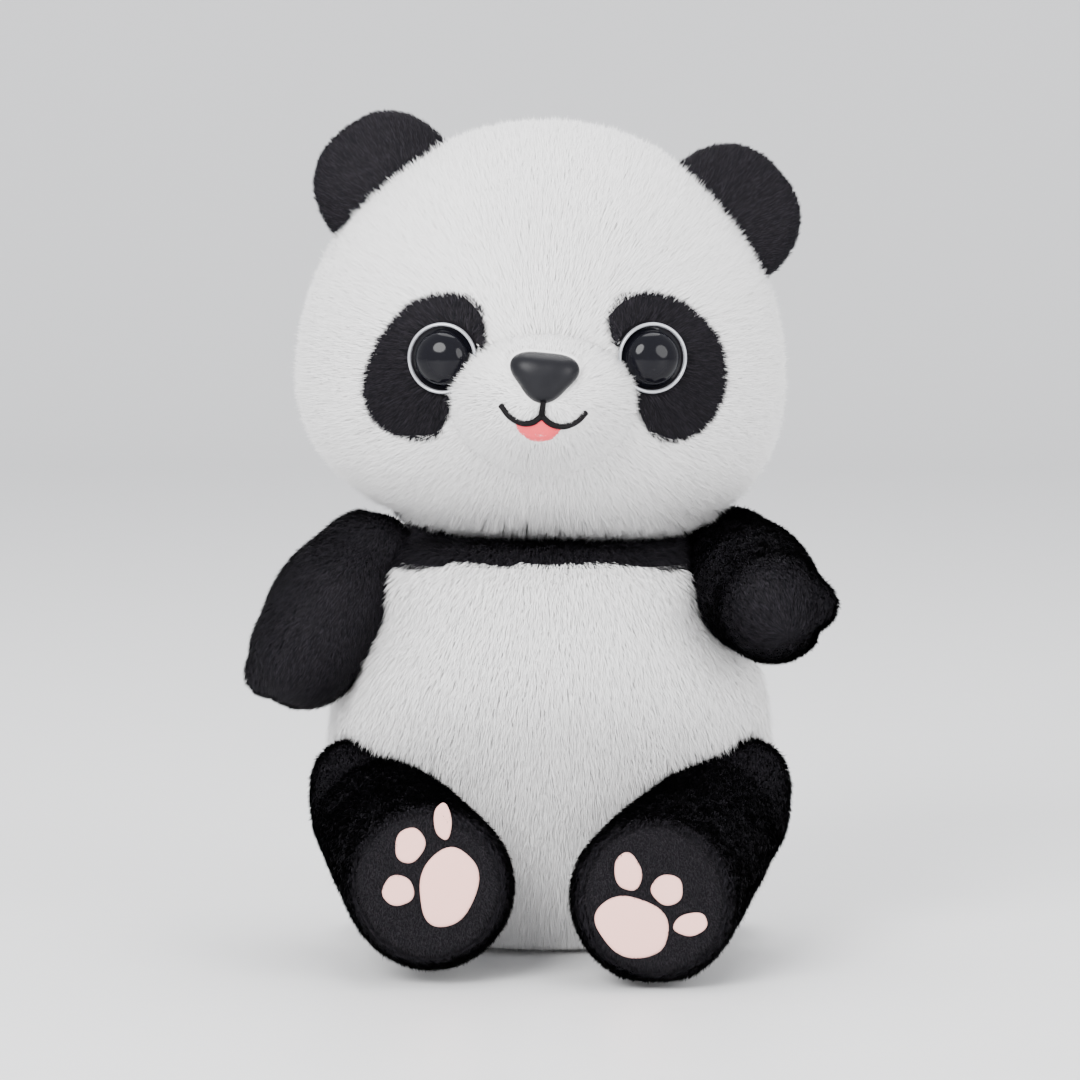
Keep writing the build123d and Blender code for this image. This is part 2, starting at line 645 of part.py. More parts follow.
def main():
    os.makedirs("parts", exist_ok=True)
    pieces = {}
    make_torso(pieces)
    make_head(pieces)
    for name, side in SIDES.items():
        make_ear(pieces, name, side)
        make_arm(pieces, name, side)
        make_leg(pieces, name, side)
    make_tail(pieces)
    for node, shape in pieces.items():
        if isinstance(shape, list):
            save(node, *shape)
        else:
            save(node, shape)


main()
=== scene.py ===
import json
import math
from functools import partial

import bmesh
import bpy
import numpy as np
from mathutils import Euler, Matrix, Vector
from mathutils.kdtree import KDTree


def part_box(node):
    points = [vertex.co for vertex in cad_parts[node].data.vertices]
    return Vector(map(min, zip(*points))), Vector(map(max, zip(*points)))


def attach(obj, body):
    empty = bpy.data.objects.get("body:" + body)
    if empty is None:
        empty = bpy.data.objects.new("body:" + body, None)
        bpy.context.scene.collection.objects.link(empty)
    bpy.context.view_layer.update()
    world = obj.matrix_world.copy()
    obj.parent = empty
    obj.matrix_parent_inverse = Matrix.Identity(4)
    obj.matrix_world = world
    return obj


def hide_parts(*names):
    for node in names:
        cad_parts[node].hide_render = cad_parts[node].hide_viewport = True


# A seated plush panda. Lengths are in millimetres and turn into metres when a mesh is made.
# The toy looks along -Y, and left and right are its own: its left is at +X.

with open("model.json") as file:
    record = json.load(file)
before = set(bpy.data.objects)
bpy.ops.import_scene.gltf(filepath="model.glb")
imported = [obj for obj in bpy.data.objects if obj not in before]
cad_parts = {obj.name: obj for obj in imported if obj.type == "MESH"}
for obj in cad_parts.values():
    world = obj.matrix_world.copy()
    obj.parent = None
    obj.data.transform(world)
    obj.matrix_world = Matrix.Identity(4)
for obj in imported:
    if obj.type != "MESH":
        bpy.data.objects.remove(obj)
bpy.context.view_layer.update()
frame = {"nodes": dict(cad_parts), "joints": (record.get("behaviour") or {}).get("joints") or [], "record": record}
MM = 0.001
RNG = np.random.default_rng(20)
SIDES = {"right": -1.0, "left": 1.0}
THIN = 1.0
STRANDS_PER_PIECE = 64000
STRANDS = {  # how many strands are scattered on each skin before the covered ones are left out
    "head": 300000, "torso": 240000, "leg": 84000, "arm": 62000, "muzzle": 52000, "neck": 26000, "ear": 24000,
    "patch": 15000, "tail": 12000,
}


def box_of(*nodes):
    """Lowest and highest corner of several CAD nodes together."""
    corners = [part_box(node) for node in nodes]
    low = np.min([np.array(c[0]) for c in corners], axis=0) / MM
    high = np.max([np.array(c[1]) for c in corners], axis=0) / MM
    return low, high


def joint_place(name):
    return np.array([j["pos_m"] for j in frame["joints"] if j["name"] == name][0]) / MM


def joint_axis(name):
    return np.array([j["axis"] for j in frame["joints"] if j["name"] == name][0])


# ---- sizes from the frame

HEAD_NODES = ("face_left", "face_right", "head_back_left", "head_back_right")
TORSO_NODES = ("belly_panel", "back_panel_left", "back_panel_right", "base_panel", "yoke_front", "yoke_back")
head_low, head_high = box_of(*HEAD_NODES)
torso_low, torso_high = box_of(*TORSO_NODES)
CROWN_SHARE = 0.615  # of the head's height above its widest line
SKIN_DEPTH = 1.4  # the backing of the long pile lies this far inside the CAD surface
SHORT_SKIN_DEPTH = 1.0  # the same for the short black pile
HEAD_ROLL = math.radians(5.5)
head_height = head_high[2] - head_low[2]
HEAD_MIDDLE = np.array([(head_low[0] + head_high[0]) / 2, 0.0, head_high[2] - CROWN_SHARE * head_height])
HEAD_HALF_WIDTH = (head_high[0] - head_low[0]) / 2 - SKIN_DEPTH
HEAD_HALF_DEPTH = (head_high[1] - head_low[1]) / 2 - SKIN_DEPTH
CROWN = CROWN_SHARE * head_height - SKIN_DEPTH
JAW = (1 - CROWN_SHARE) * head_height
CHEEK_POWER = 2.45  # how square the jaw is: 2 is an ellipse
CHIN_DROP = 43.0  # below this much under the head's widest line the pile hangs in loose tufts
PARTING_DROP = CHIN_DROP + 7  # and below this it parts along the chin seam
muzzle_low, muzzle_high = box_of("muzzle_cover")
nose_low, nose_high = box_of("nose")
MUZZLE_DEPTH = 27.0
NOSE_MIDDLE = (nose_low + nose_high) / 2
NOSE_FRONT = nose_low[1]
TORSO_HALF_WIDTH = (torso_high[0] - torso_low[0]) / 2
TORSO_FRONT = -torso_low[1]
TORSO_BACK = torso_high[1]
TORSO_TOP = torso_high[2]
FLOOR_GAP = 0.6  # the lowest fabric lies this far above the seat plane
NECK_RADIUS, STEM_RADIUS, STEM_LENGTH = 23.6, 16.4, 36
ARM_RADIUS = 18.5
SOLE_TILT = math.radians(8.0)
SOLE_OFFSET = 10.0  # from the middle of the foot forward to its sole
FOOT_RADIUS = 26.5
THIGH = np.array([8.5, 1.0, 11.5])  # from the hip to the middle of the thigh's outer corner
THIGH_RADIUS = 11.5
HIP_RADIUS = 20.3
EAR_HALF_WIDTH, EAR_HEIGHT, EAR_HALF_THICKNESS = 23.2, 24.4, 6.3
EAR_POWER = 2.4  # how square the ear is: 2 is an ellipse
EYE_TURN = math.radians(14.0)
EYE_RING_RADIUS = 12.0
SEARCH_STEPS = 24  # halvings when the surface of a form is looked for


# ---- forms: negative inside

def smooth_min(a, b, blend):
    share = np.clip(0.5 + 0.5 * (b - a) / blend, 0, 1)
    return b * (1 - share) + a * share - blend * share * (1 - share)


def smooth_max(a, b, blend):
    return -smooth_min(-a, -b, blend)


def ball(p, middle, radius):
    return np.linalg.norm(p - middle, axis=1) - radius


def rod(p, start, end, start_radius, end_radius):
    """A limb between two points whose radius changes evenly."""
    line = end - start
    along = np.clip(((p - start) @ line) / (line @ line), 0, 1)
    nearest = start + along[:, None] * line
    return np.linalg.norm(p - nearest, axis=1) - (start_radius + along * (end_radius - start_radius))


def egg(p, middle, radii):
    return (np.linalg.norm((p - middle) / radii, axis=1) - 1) * min(radii)


def curve_through(x, xs, ys):
    """A smooth curve through a few points, flat where it turns."""
    xs, ys = np.asarray(xs, float), np.asarray(ys, float)
    slopes = np.gradient(ys, xs)
    x = np.clip(x, xs[0], xs[-1])
    at = np.clip(np.searchsorted(xs, x) - 1, 0, len(xs) - 2)
    width = xs[at + 1] - xs[at]
    t = (x - xs[at]) / width
    return (
        ys[at] * (1 + 2 * t) * (1 - t) ** 2
        + ys[at + 1] * t * t * (3 - 2 * t)
        + width * (slopes[at] * t * (1 - t) ** 2 - slopes[at + 1] * t * t * (1 - t))
    )


def waves(p, seed, size, amount):
    """Soft lumps of loose filling: a few crossing waves, the same each run."""
    rng = np.random.default_rng(seed)
    total = np.zeros(len(p))
    for _ in range(7):
        direction = rng.normal(size=3)
        direction /= np.linalg.norm(direction)
        total += np.sin(p @ direction * (2 * math.pi / (size * rng.uniform(0.7, 1.5))) + rng.uniform(0, 6.3))
    return total * amount / 3


def to_head(p):
    """Points in the head's own frame, before it leans."""
    q = p - HEAD_MIDDLE
    c, s = math.cos(HEAD_ROLL), math.sin(HEAD_ROLL)
    return np.stack([q[:, 0] * c - q[:, 2] * s, q[:, 1], q[:, 0] * s + q[:, 2] * c], axis=1)


def head_form(p):
    q = to_head(p)
    up = q[:, 2] > 0
    power = np.where(up, 2.0, CHEEK_POWER)
    wide = np.abs(q[:, 0]) / HEAD_HALF_WIDTH
    high = np.abs(q[:, 2]) / np.where(up, CROWN, JAW)
    flat = (wide**power + high**power) ** (2 / power)
    form = (np.sqrt(flat + (q[:, 1] / HEAD_HALF_DEPTH) ** 2) - 1) * HEAD_HALF_DEPTH
    return form + waves(p, 3, 60, 0.35)


MUZZLE_MIDDLE = np.array([
    (muzzle_low[0] + muzzle_high[0]) / 2,
    muzzle_low[1] + MUZZLE_DEPTH,
    (muzzle_low[2] + muzzle_high[2]) / 2,
])
MUZZLE_RADII = np.array([
    (muzzle_high[0] - muzzle_low[0]) / 2 - 0.4,
    MUZZLE_DEPTH - 0.6,
    (muzzle_high[2] - muzzle_low[2]) / 2 - 0.4,
])


def muzzle_form(p):
    """The padded muzzle."""
    return egg(p, MUZZLE_MIDDLE, MUZZLE_RADII)


# The torso's outline as shares of its size: height, half width, reach of the belly, reach of the back.
TORSO_OUTLINE = np.array([
    (0.00, 0.66, 0.70, 0.68),
    (0.10, 0.914, 0.84, 0.95),
    (0.30, 1.00, 0.89, 1.00),
    (0.48, 1.00, 0.95, 1.00),
    (0.66, 0.95, 1.00, 0.94),
    (0.81, 0.83, 0.95, 0.87),
    (0.94, 0.78, 0.84, 0.78),
    (1.00, 0.68, 0.66, 0.64),
    (1.05, 0.52, 0.46, 0.48),
])


SLOPE_RADIUS = 12.0
SHOULDER_SLOPES = (  # from each arm in towards the neck; the head leans, so one side is lower
    (np.array([-59.0, 2.0, 140.5]), np.array([-36.0, 0.0, 127.5])),
    (np.array([57.0, 2.0, 136.5]), np.array([36.0, 0.0, 126.5])),
)


def torso_pear(p):
    share = p[:, 2] / TORSO_TOP
    half_width, front, back = (curve_through(share, TORSO_OUTLINE[:, 0], TORSO_OUTLINE[:, k]) for k in (1, 2, 3))
    front, back = front * TORSO_FRONT, back * TORSO_BACK
    half_width, half_depth = half_width * TORSO_HALF_WIDTH - SKIN_DEPTH, (front + back) / 2 - SKIN_DEPTH
    form = (np.hypot(p[:, 0] / half_width, (p[:, 1] - (back - front) / 2) / half_depth) - 1) * half_depth
    form = smooth_max(form + waves(p, 5, 70, 0.3), p[:, 2] - TORSO_TOP, 4)
    for slope_top, slope_foot in SHOULDER_SLOPES:
        form = smooth_min(form, rod(p, slope_top, slope_foot, SLOPE_RADIUS, SLOPE_RADIUS), 6)
    return smooth_max(form, FLOOR_GAP - p[:, 2], 4)


SHOULDER = {name: joint_place(f"arm_{name}_swing") for name in SIDES}
HIP = {name: joint_place(f"leg_{name}_lift") for name in SIDES}
PAW = {"right": SHOULDER["right"] + (-21.0, -20.0, -29.0), "left": SHOULDER["left"] + (12.5, -45.0, -10.5)}
# From the middle of a paw to its thumb, and to the dent under the thumb.
PAW_LOBE = {"right": np.array([-13.6, -1.0, -7.0]), "left": np.array([15.0, -1.0, 0.5])}
PAW_CLEFT = {"right": np.array([-13.0, -1.0, -17.5]), "left": np.array([16.5, -2.0, -9.5])}
LOBE_RADIUS, CLEFT_RADIUS = 5.8, 2.4
CLEFT_REACH = (0, 14, 0)
# From the middle of an arm to where it is stuffed out.
ARM_FULLNESS = {"right": np.array([-2.2, 0.0, 1.5]), "left": np.array([1.0, 2.0, -2.0])}


def arm_form(name, p):
    root, paw = SHOULDER[name], PAW[name]
    radius = ARM_RADIUS - SHORT_SKIN_DEPTH
    form = rod(p, root, paw, radius, radius + 0.3)
    form = smooth_min(form, ball(p, (root + paw) / 2 + ARM_FULLNESS[name], radius), 12)
    form = smooth_min(form, ball(p, paw + PAW_LOBE[name], LOBE_RADIUS), 4)
    cleft = paw + PAW_CLEFT[name]
    dent = rod(p, cleft - CLEFT_REACH, cleft + CLEFT_REACH, CLEFT_RADIUS, CLEFT_RADIUS)
    form = smooth_max(form, -dent, 2.5)
    return form + waves(p, 11, 34, 0.35)


def sole_frame(name):
    """Middle, out, right and up directions of a sole, from its CAD disc."""
    low, high = box_of(f"leg_sole_{name}")
    out = np.array([0.0, -math.cos(SOLE_TILT), math.sin(SOLE_TILT)])
    up = np.array([0.0, math.sin(SOLE_TILT), math.cos(SOLE_TILT)])
    return (low + high) / 2 + out * 0.5, out, np.array([1.0, 0.0, 0.0]), up


def leg_form(name, p):
    middle, out, _, _ = sole_frame(name)
    foot = middle - out * SOLE_OFFSET
    hip = HIP[name]
    form = rod(p, hip, foot, HIP_RADIUS, FOOT_RADIUS - 0.3)
    form = smooth_min(form, ball(p, hip + THIGH * (SIDES[name], 1, 1), THIGH_RADIUS), 8)
    form = smooth_max(form, (p - middle) @ out - 0.2, 5)
    form = smooth_max(form, FLOOR_GAP + 0.6 - p[:, 2], 4)
    return form + waves(p, 17, 40, 0.4)


def torso_form(p):
    """The torso, pressed in where arms and legs lie against it."""
    form = torso_pear(p)
    for name in SIDES:
        form = smooth_max(form, 1.2 - arm_form(name, p), 5)
        form = smooth_max(form, 1.2 - leg_form(name, p), 5)
    return form


def ear_axes(name):
    """Fold line, back and outward directions of an ear, and the middle of its fold line."""
    along = joint_axis(f"ear_{name}_fold")
    back = np.array([0.0, 1.0, 0.0])
    return along, back, np.cross(along, back), joint_place(f"ear_{name}_fold")


def ear_form(name, p):
    """A flat padded disc, a little dished in front."""
    along, back, out, root = ear_axes(name)
    q = p - root
    u, w, v = q @ along, q @ back, q @ out
    height = np.where(v > 0, EAR_HEIGHT, EAR_HALF_THICKNESS)
    edge = ((np.abs(u) / EAR_HALF_WIDTH) ** EAR_POWER + (np.abs(v) / height) ** EAR_POWER) ** (2 / EAR_POWER)
    dish = 0.9 * np.exp(-((u / 11) ** 2 + ((v - 9) / 9) ** 2)) * (w < 0)
    return (np.sqrt(edge + (w / EAR_HALF_THICKNESS) ** 2) - 1) * EAR_HALF_THICKNESS + dish


tail_low, tail_high = box_of("tail_cover")
TAIL_MIDDLE = (tail_low + tail_high) / 2


def tail_form(p):
    return ball(p, TAIL_MIDDLE, (tail_high[0] - tail_low[0]) / 2 - SKIN_DEPTH)


# ---- materials

def new_material(name, colour, rough, **sockets):
    """A shader whose roughness wanders a little, as cloth and moulded plastic do."""
    material = bpy.data.materials.new(name)
    material.use_nodes = True
    nodes, links = material.node_tree.nodes, material.node_tree.links
    shader = nodes["Principled BSDF"]
    shader.inputs["Base Color"].default_value = (*colour, 1)
    noise = nodes.new("ShaderNodeTexNoise")
    noise.inputs["Scale"].default_value = sockets.pop("grain", 400.0)
    spread = nodes.new("ShaderNodeMapRange")
    spread.inputs["To Min"].default_value = rough[0]
    spread.inputs["To Max"].default_value = rough[1]
    links.new(noise.outputs["Fac"], spread.inputs["Value"])
    links.new(spread.outputs["Result"], shader.inputs["Roughness"])
    bump_strength = sockets.pop("bump", 0.0)
    if bump_strength:
        bump = nodes.new("ShaderNodeBump")
        bump.inputs["Strength"].default_value = bump_strength
        bump.inputs["Distance"].default_value = 0.4 * MM
        links.new(noise.outputs["Fac"], bump.inputs["Height"])
        links.new(bump.outputs["Normal"], shader.inputs["Normal"])
    for socket, value in sockets.items():
        shader.inputs[socket.replace("_", " ").title().replace("Ior", "IOR")].default_value = value
    return material


WHITE_PILE = [
    new_material(f"white_pile_{k}", colour, (0.7, 0.95), sheen_weight=0.12)
    for k, colour in enumerate([(0.95, 0.94, 0.93), (0.93, 0.92, 0.91), (0.96, 0.955, 0.95), (0.90, 0.89, 0.885)])
]
BLACK_PILE = [
    new_material(f"black_pile_{k}", colour, (0.6, 0.85), specular_ior_level=0.12)
    for k, colour in enumerate([(0.007, 0.006, 0.008), (0.010, 0.009, 0.011), (0.005, 0.005, 0.007),
                                (0.016, 0.014, 0.018)])
]
SOLE_PILE = [
    new_material(f"sole_pile_{k}", colour, (0.7, 0.9), specular_ior_level=0.14)
    for k, colour in enumerate([(0.012, 0.011, 0.013), (0.017, 0.015, 0.018), (0.009, 0.009, 0.011)])
]
WHITE_BACKING = new_material("white_backing", (0.88, 0.87, 0.86), (0.8, 0.95), bump=0.5)
BLACK_BACKING = new_material("black_backing", (0.008, 0.007, 0.009), (0.8, 0.95), bump=0.5,
                             specular_ior_level=0.1)
BASE_CLOTH = new_material("base_cloth", (0.82, 0.81, 0.79), (0.75, 0.95), bump=0.6, grain=900.0)
PINK_PAD = new_material("pink_pad", (0.93, 0.52, 0.45), (0.6, 0.85), bump=0.35, grain=1500.0, sheen_weight=0.2)
TONGUE_FELT = new_material("tongue_felt", (0.90, 0.05, 0.075), (0.6, 0.9), bump=0.4, grain=1800.0,
                           sheen_weight=0.15)
MOUTH_THREAD = new_material("mouth_thread", (0.008, 0.007, 0.008), (0.5, 0.7), bump=0.5, grain=2500.0,
                            specular_ior_level=0.12)
EYE_PLASTIC = new_material("eye_plastic", (0.004, 0.004, 0.006), (0.07, 0.12), specular_ior_level=0.16)
EYE_RIM = new_material("eye_rim", (0.46, 0.47, 0.50), (0.18, 0.3), metallic=0.5)
NOSE_PLASTIC = new_material("nose_plastic", (0.008, 0.008, 0.010), (0.32, 0.42), bump=0.06, grain=900.0,
                            specular_ior_level=0.15)
COATS = {"white_plush": WHITE_PILE, "black_plush": BLACK_PILE, "sole_velour": SOLE_PILE}
BACKINGS = {"white_plush": WHITE_BACKING, "black_plush": BLACK_BACKING, "sole_velour": BLACK_BACKING,
            "base_cloth": BASE_CLOTH}
HIDDEN = {
    "fibre_filling": new_material("fibre_filling", (0.9, 0.9, 0.9), (0.8, 0.95), bump=0.8),
    "white_thread": new_material("white_thread", (0.85, 0.84, 0.82), (0.5, 0.7), bump=0.4),
    "lining_cloth": new_material("lining_cloth", (0.8, 0.79, 0.76), (0.8, 0.95), bump=0.5, grain=900.0),
    "bead_plastic": new_material("bead_plastic", (0.8, 0.8, 0.8), (0.4, 0.6), bump=0.8, grain=300.0),
    "washer_plastic": new_material("washer_plastic", (0.75, 0.75, 0.73), (0.35, 0.5), bump=0.1),
}


def dress_cad_nodes():
    """The hidden CAD pieces keep their shapes and get their own finish."""
    for part in frame["record"]["subparts"]:
        material = HIDDEN.get(part["material_slot"])
        if material:
            for place in frame["nodes"][part["node"]].material_slots:
                place.material = material


# ---- meshes

def put(name, data):
    """A new object in the scene."""
    thing = bpy.data.objects.new(name, data)
    bpy.context.scene.collection.objects.link(thing)
    return thing


def add_mesh(name, points, faces, body, material):
    """A piece from points in millimetres, riding on a body."""
    mesh = bpy.data.meshes.new(name)
    mesh.from_pydata((np.asarray(points) * MM).tolist(), [], [list(map(int, face)) for face in faces])
    mesh.update()
    for face in mesh.polygons:
        face.use_smooth = True
    mesh.materials.append(material)
    piece = put(name, mesh)
    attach(piece, body)
    return piece


def bands(rings, count, start=0):
    """Four-sided faces between rings of points that follow each other."""
    faces = []
    for level in range(rings - 1):
        a, b = start + level * count, start + (level + 1) * count
        faces += [(a + k, a + (k + 1) % count, b + (k + 1) % count, b + k) for k in range(count)]
    return faces


def geodesic(level):
    """Directions and triangles of a finely divided ball."""
    ball_mesh = bmesh.new()
    bmesh.ops.create_icosphere(ball_mesh, subdivisions=level, radius=1.0)
    directions = np.array([v.co for v in ball_mesh.verts])
    faces = np.array([[v.index for v in face.verts] for face in ball_mesh.faces])
    ball_mesh.free()
    return directions / np.linalg.norm(directions, axis=1)[:, None], faces


def skin_of(form, middle, reach, level):
    """Where rays from the middle leave a form: points and triangles of its skin."""
    directions, faces = geodesic(level)
    near, far = np.zeros(len(directions)), np.full(len(directions), float(reach))
    for _ in range(SEARCH_STEPS):
        half = (near + far) / 2
        inside = form(middle + directions * half[:, None]) < 0
        near, far = np.where(inside, half, near), np.where(inside, far, half)
    return middle + directions * near[:, None], faces


def normals_of(points, faces):
    corner = points[faces]
    flat = np.cross(corner[:, 1] - corner[:, 0], corner[:, 2] - corner[:, 0])
    total = np.zeros_like(points)
    for k in range(3):
        np.add.at(total, faces[:, k], flat)
    return total / np.linalg.norm(total, axis=1)[:, None]


def cut_panel(points, faces, cuts):
    """The part of a skin on the far side of some planes, cut cleanly: (point on plane, direction kept)."""
    panel = bmesh.new()
    verts = [panel.verts.new(p) for p in points]
    for face in faces:
        panel.faces.new([verts[k] for k in face])
    for place, keep in cuts:
        geometry = panel.verts[:] + panel.edges[:] + panel.faces[:]
        bmesh.ops.bisect_plane(panel, geom=geometry, dist=1e-5, plane_co=place, plane_no=keep, clear_inner=True)
    panel.verts.index_update()
    kept = np.array([v.co for v in panel.verts])
    kept_faces = [[v.index for v in face.verts] for face in panel.faces]
    panel.free()
    return kept, kept_faces


def add_skin(node, points, faces, body, slot, cuts=()):
    """A sewn panel that stands for its CAD node."""
    if cuts:
        points, faces = cut_panel(points, faces, cuts)
    piece = add_mesh(f"{node}_fabric", points, faces, body, BACKINGS[slot])
    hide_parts(node)


# ---- pile

def scatter(points, faces, normals, kind):
    """Random places on a skin, with the skin's normal there."""
    count = int(STRANDS[kind] * THIN)
    corner = points[faces]
    area = np.linalg.norm(np.cross(corner[:, 1] - corner[:, 0], corner[:, 2] - corner[:, 0]), axis=1)
    steps = (np.arange(count) + RNG.random(count)) / count
    chosen = np.searchsorted(np.cumsum(area) / area.sum(), steps).clip(0, len(faces) - 1)
    a, b = RNG.random(count), RNG.random(count)
    fold = a + b > 1
    a, b = np.where(fold, 1 - a, a), np.where(fold, 1 - b, b)
    weights = np.stack([1 - a - b, a, b], axis=1)[:, :, None]
    roots = (corner[chosen] * weights).sum(axis=1)
    out = (normals[faces[chosen]] * weights).sum(axis=1)
    return roots, out / np.linalg.norm(out, axis=1)[:, None]


def roots_on(points, faces, kind, wanted):
    """Random places on a skin, where they are wanted, with the skin's normal there."""
    roots, out = scatter(points, faces, normals_of(points, faces), kind)
    keep = wanted(roots)
    return roots[keep], out[keep]


def unit(v):
    return v / np.maximum(np.linalg.norm(v, axis=1), 1e-9)[:, None]


def gather(roots, tuft):
    """For each strand, the number of the strand that leads its tuft."""
    leader_count = max(1, int(len(roots) * min(1.0, 1.0 / (tuft * 4))))
    leaders = RNG.choice(len(roots), size=leader_count, replace=False)
    tree = KDTree(len(leaders))
    for k in leaders:
        tree.insert(roots[k], int(k))
    tree.balance()
    return np.array([tree.find(p)[1] for p in roots])


def add_pile(name, body, slot, roots, out, flow, length, lean=(38, 66), width=0.3, tuft=4,
             pull=0.4, wild=0.12, clear_of=()):
    """A coat of separate strands: each leans along the flow, bends over and joins a tuft at its tip.
    lean is the angle from the skin's normal at the root and at the tip, in degrees. About four times
    tuft strands share a tip, pull says how strongly, wild how much each goes its own way.
    Strands that would run into one of the forms in clear_of are cropped short."""
    count = len(roots)
    length = np.broadcast_to(length, (count,)) * RNG.uniform(0.75, 1.15, count)
    along = unit(flow - (flow * out).sum(axis=1)[:, None] * out)
    jitter = RNG.normal(size=(count, 3)) * wild
    low, high = np.radians(lean[0]), np.radians(lean[1])
    first = unit(out * math.cos(low) + along * math.sin(low) + jitter)
    second = unit(out * math.cos(high) + along * math.sin(high) + jitter * 1.6)
    middle = roots + first * (length * 0.5)[:, None]
    tip = middle + second * (length * 0.55)[:, None]
    leader = gather(roots, tuft)
    share = (pull * RNG.uniform(0.5, 1.0, count))[:, None]
    tip = tip * (1 - share) + tip[leader] * share
    middle = middle * (1 - 0.45 * share) + middle[leader] * 0.45 * share
    for form, gap in clear_of:
        hits = np.minimum(form(tip), form(middle)) < gap
        crop = np.where(hits, 0.4, 1.0)[:, None]
        middle, tip = roots + (middle - roots) * crop, roots + (tip - roots) * crop
    across = unit(np.cross(unit(tip - roots), out) + RNG.normal(size=(count, 3)) * 0.15)
    half = (width * RNG.uniform(0.35, 0.65, count))[:, None]
    ring = np.stack([roots - across * half, roots + across * half, middle + across * half * 0.8,
                     middle - across * half * 0.8, tip], axis=1)
    for number, part in enumerate(np.array_split(np.arange(count), -(-count // STRANDS_PER_PIECE))):
        write_strands(f"{name}_{number}", ring[part].reshape(-1, 3), out[part], first[part], body, slot)


def write_strands(name, ring, out, first, body, slot):
    """The mesh of a coat: five points, a four-sided and a three-sided face for each strand."""
    count = len(out)
    start = np.arange(count)[:, None] * 5
    corners = np.concatenate([start + (0, 1, 2, 3), start + (3, 2, 4)], axis=1).astype(np.int32)
    mesh = bpy.data.meshes.new(name)
    mesh.vertices.add(count * 5)
    mesh.vertices.foreach_set("co", (ring * MM).astype(np.float32).ravel())
    mesh.loops.add(count * 7)
    mesh.loops.foreach_set("vertex_index", corners.ravel())
    mesh.polygons.add(count * 2)
    loop_start = (np.arange(count)[:, None] * 7 + (0, 4)).astype(np.int32)
    mesh.polygons.foreach_set("loop_start", loop_start.ravel())
    for material in COATS[slot]:
        mesh.materials.append(material)
    shade = RNG.integers(0, len(COATS[slot]), count)
    mesh.polygons.foreach_set("material_index", np.repeat(shade, 2).astype(np.int32))
    mesh.polygons.foreach_set("use_smooth", np.ones(count * 2, bool))
    mesh.update()
    mesh.validate()
    soft = unit(out * 0.85 + first * 0.25 + RNG.normal(size=out.shape) * 0.08)
    mesh.normals_split_custom_set_from_vertices(np.repeat(soft, 5, axis=0).tolist())
    piece = put(name, mesh)
    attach(piece, body)
    return piece


# ---- head

PATCH_OUTLINES = {  # round each eye patch: outward from the middle of the eye, and up
    "right": np.array([(-1.2, 19.0), (-9.5, 17.8), (-13.0, 10.0), (-10.5, -9.0), (-3.5, -14.0), (1.5, -24.0),
                       (12.5, -24.8), (21.5, -19.5), (24.0, -9.3), (20.0, 3.0), (12.2, 13.5), (5.8, 17.5)]),
    "left": np.array([(-3.3, 19.3), (-11.5, 17.0), (-13.5, 9.0), (-6.0, -9.0), (-4.0, -18.0), (0.8, -25.0),
                      (9.0, -25.8), (16.3, -21.8), (21.5, -13.0), (22.2, -2.5), (18.5, 7.5), (11.5, 14.2),
                      (5.0, 18.0)]),
}


def between(before, here, after, beyond, t):
    """The smooth way from one point to the next."""
    return 0.5 * (2 * here + (after - before) * t + (2 * before - 5 * here + 4 * after - beyond) * t**2
                  + (3 * here - before - 3 * after + beyond) * t**3)


def closed_curve(points, per_span=10):
    """A smooth closed line through a few points."""
    before, after = np.roll(points, 1, axis=0), np.roll(points, -1, axis=0)
    beyond = np.roll(points, -2, axis=0)
    steps = np.arange(per_span) / per_span
    pieces = [between(before, points, after, beyond, t) for t in steps]
    return np.stack(pieces, axis=1).reshape(-1, points.shape[1])


def inside_outline(points, outline):
    """Which flat points lie inside a closed line."""
    inside = np.zeros(len(points), bool)
    x, y = points[:, 0], points[:, 1]
    for (x1, y1), (x2, y2) in zip(outline, np.roll(outline, -1, axis=0)):
        crosses = (y1 > y) != (y2 > y)
        if y1 != y2:
            inside ^= crosses & (x < (x2 - x1) * (y - y1) / (y2 - y1) + x1)
    return inside


def eye_frame(name):
    """Middle, across, up and outward directions of an eye, from its CAD rim."""
    low, high = box_of(f"eye_ring_{name}")
    side = SIDES[name]
    out = np.array([side * math.sin(EYE_TURN), -math.cos(EYE_TURN), 0.0])
    across = np.array([math.cos(EYE_TURN), side * math.sin(EYE_TURN), 0.0])
    return (low + high) / 2, across, np.array([0.0, 0.0, 1.0]), out


def patch_line(name):
    """The outline of an eye patch in X and Z."""
    middle = eye_frame(name)[0]
    line = closed_curve(PATCH_OUTLINES[name]) * (SIDES[name], 1.0)
    return line + (middle[0], middle[2])


def front_of(form, x, z):
    """Y of the front of a form above points X, Z."""
    near, far = np.full(len(x), -130.0), np.zeros(len(x))
    for _ in range(SEARCH_STEPS):
        half = (near + far) / 2
        outside = form(np.stack([x, half, z], axis=1)) > 0
        near, far = np.where(outside, half, near), np.where(outside, far, half)
    return near


def disc_grid(line, rings):
    """Points and faces that fill a closed line with rings round its middle."""
    middle = line.mean(axis=0)
    points = [middle[None, :]]
    for k in range(1, rings + 1):
        points.append(middle + (line - middle) * k / rings)
    count = len(line)
    faces = [(0, 1 + k, 1 + (k + 1) % count) for k in range(count)]
    for ring in range(rings - 1):
        inner, outer = 1 + ring * count, 1 + (ring + 1) * count
        faces += [(inner + k, outer + k, outer + (k + 1) % count, inner + (k + 1) % count) for k in range(count)]
    return np.concatenate(points), faces


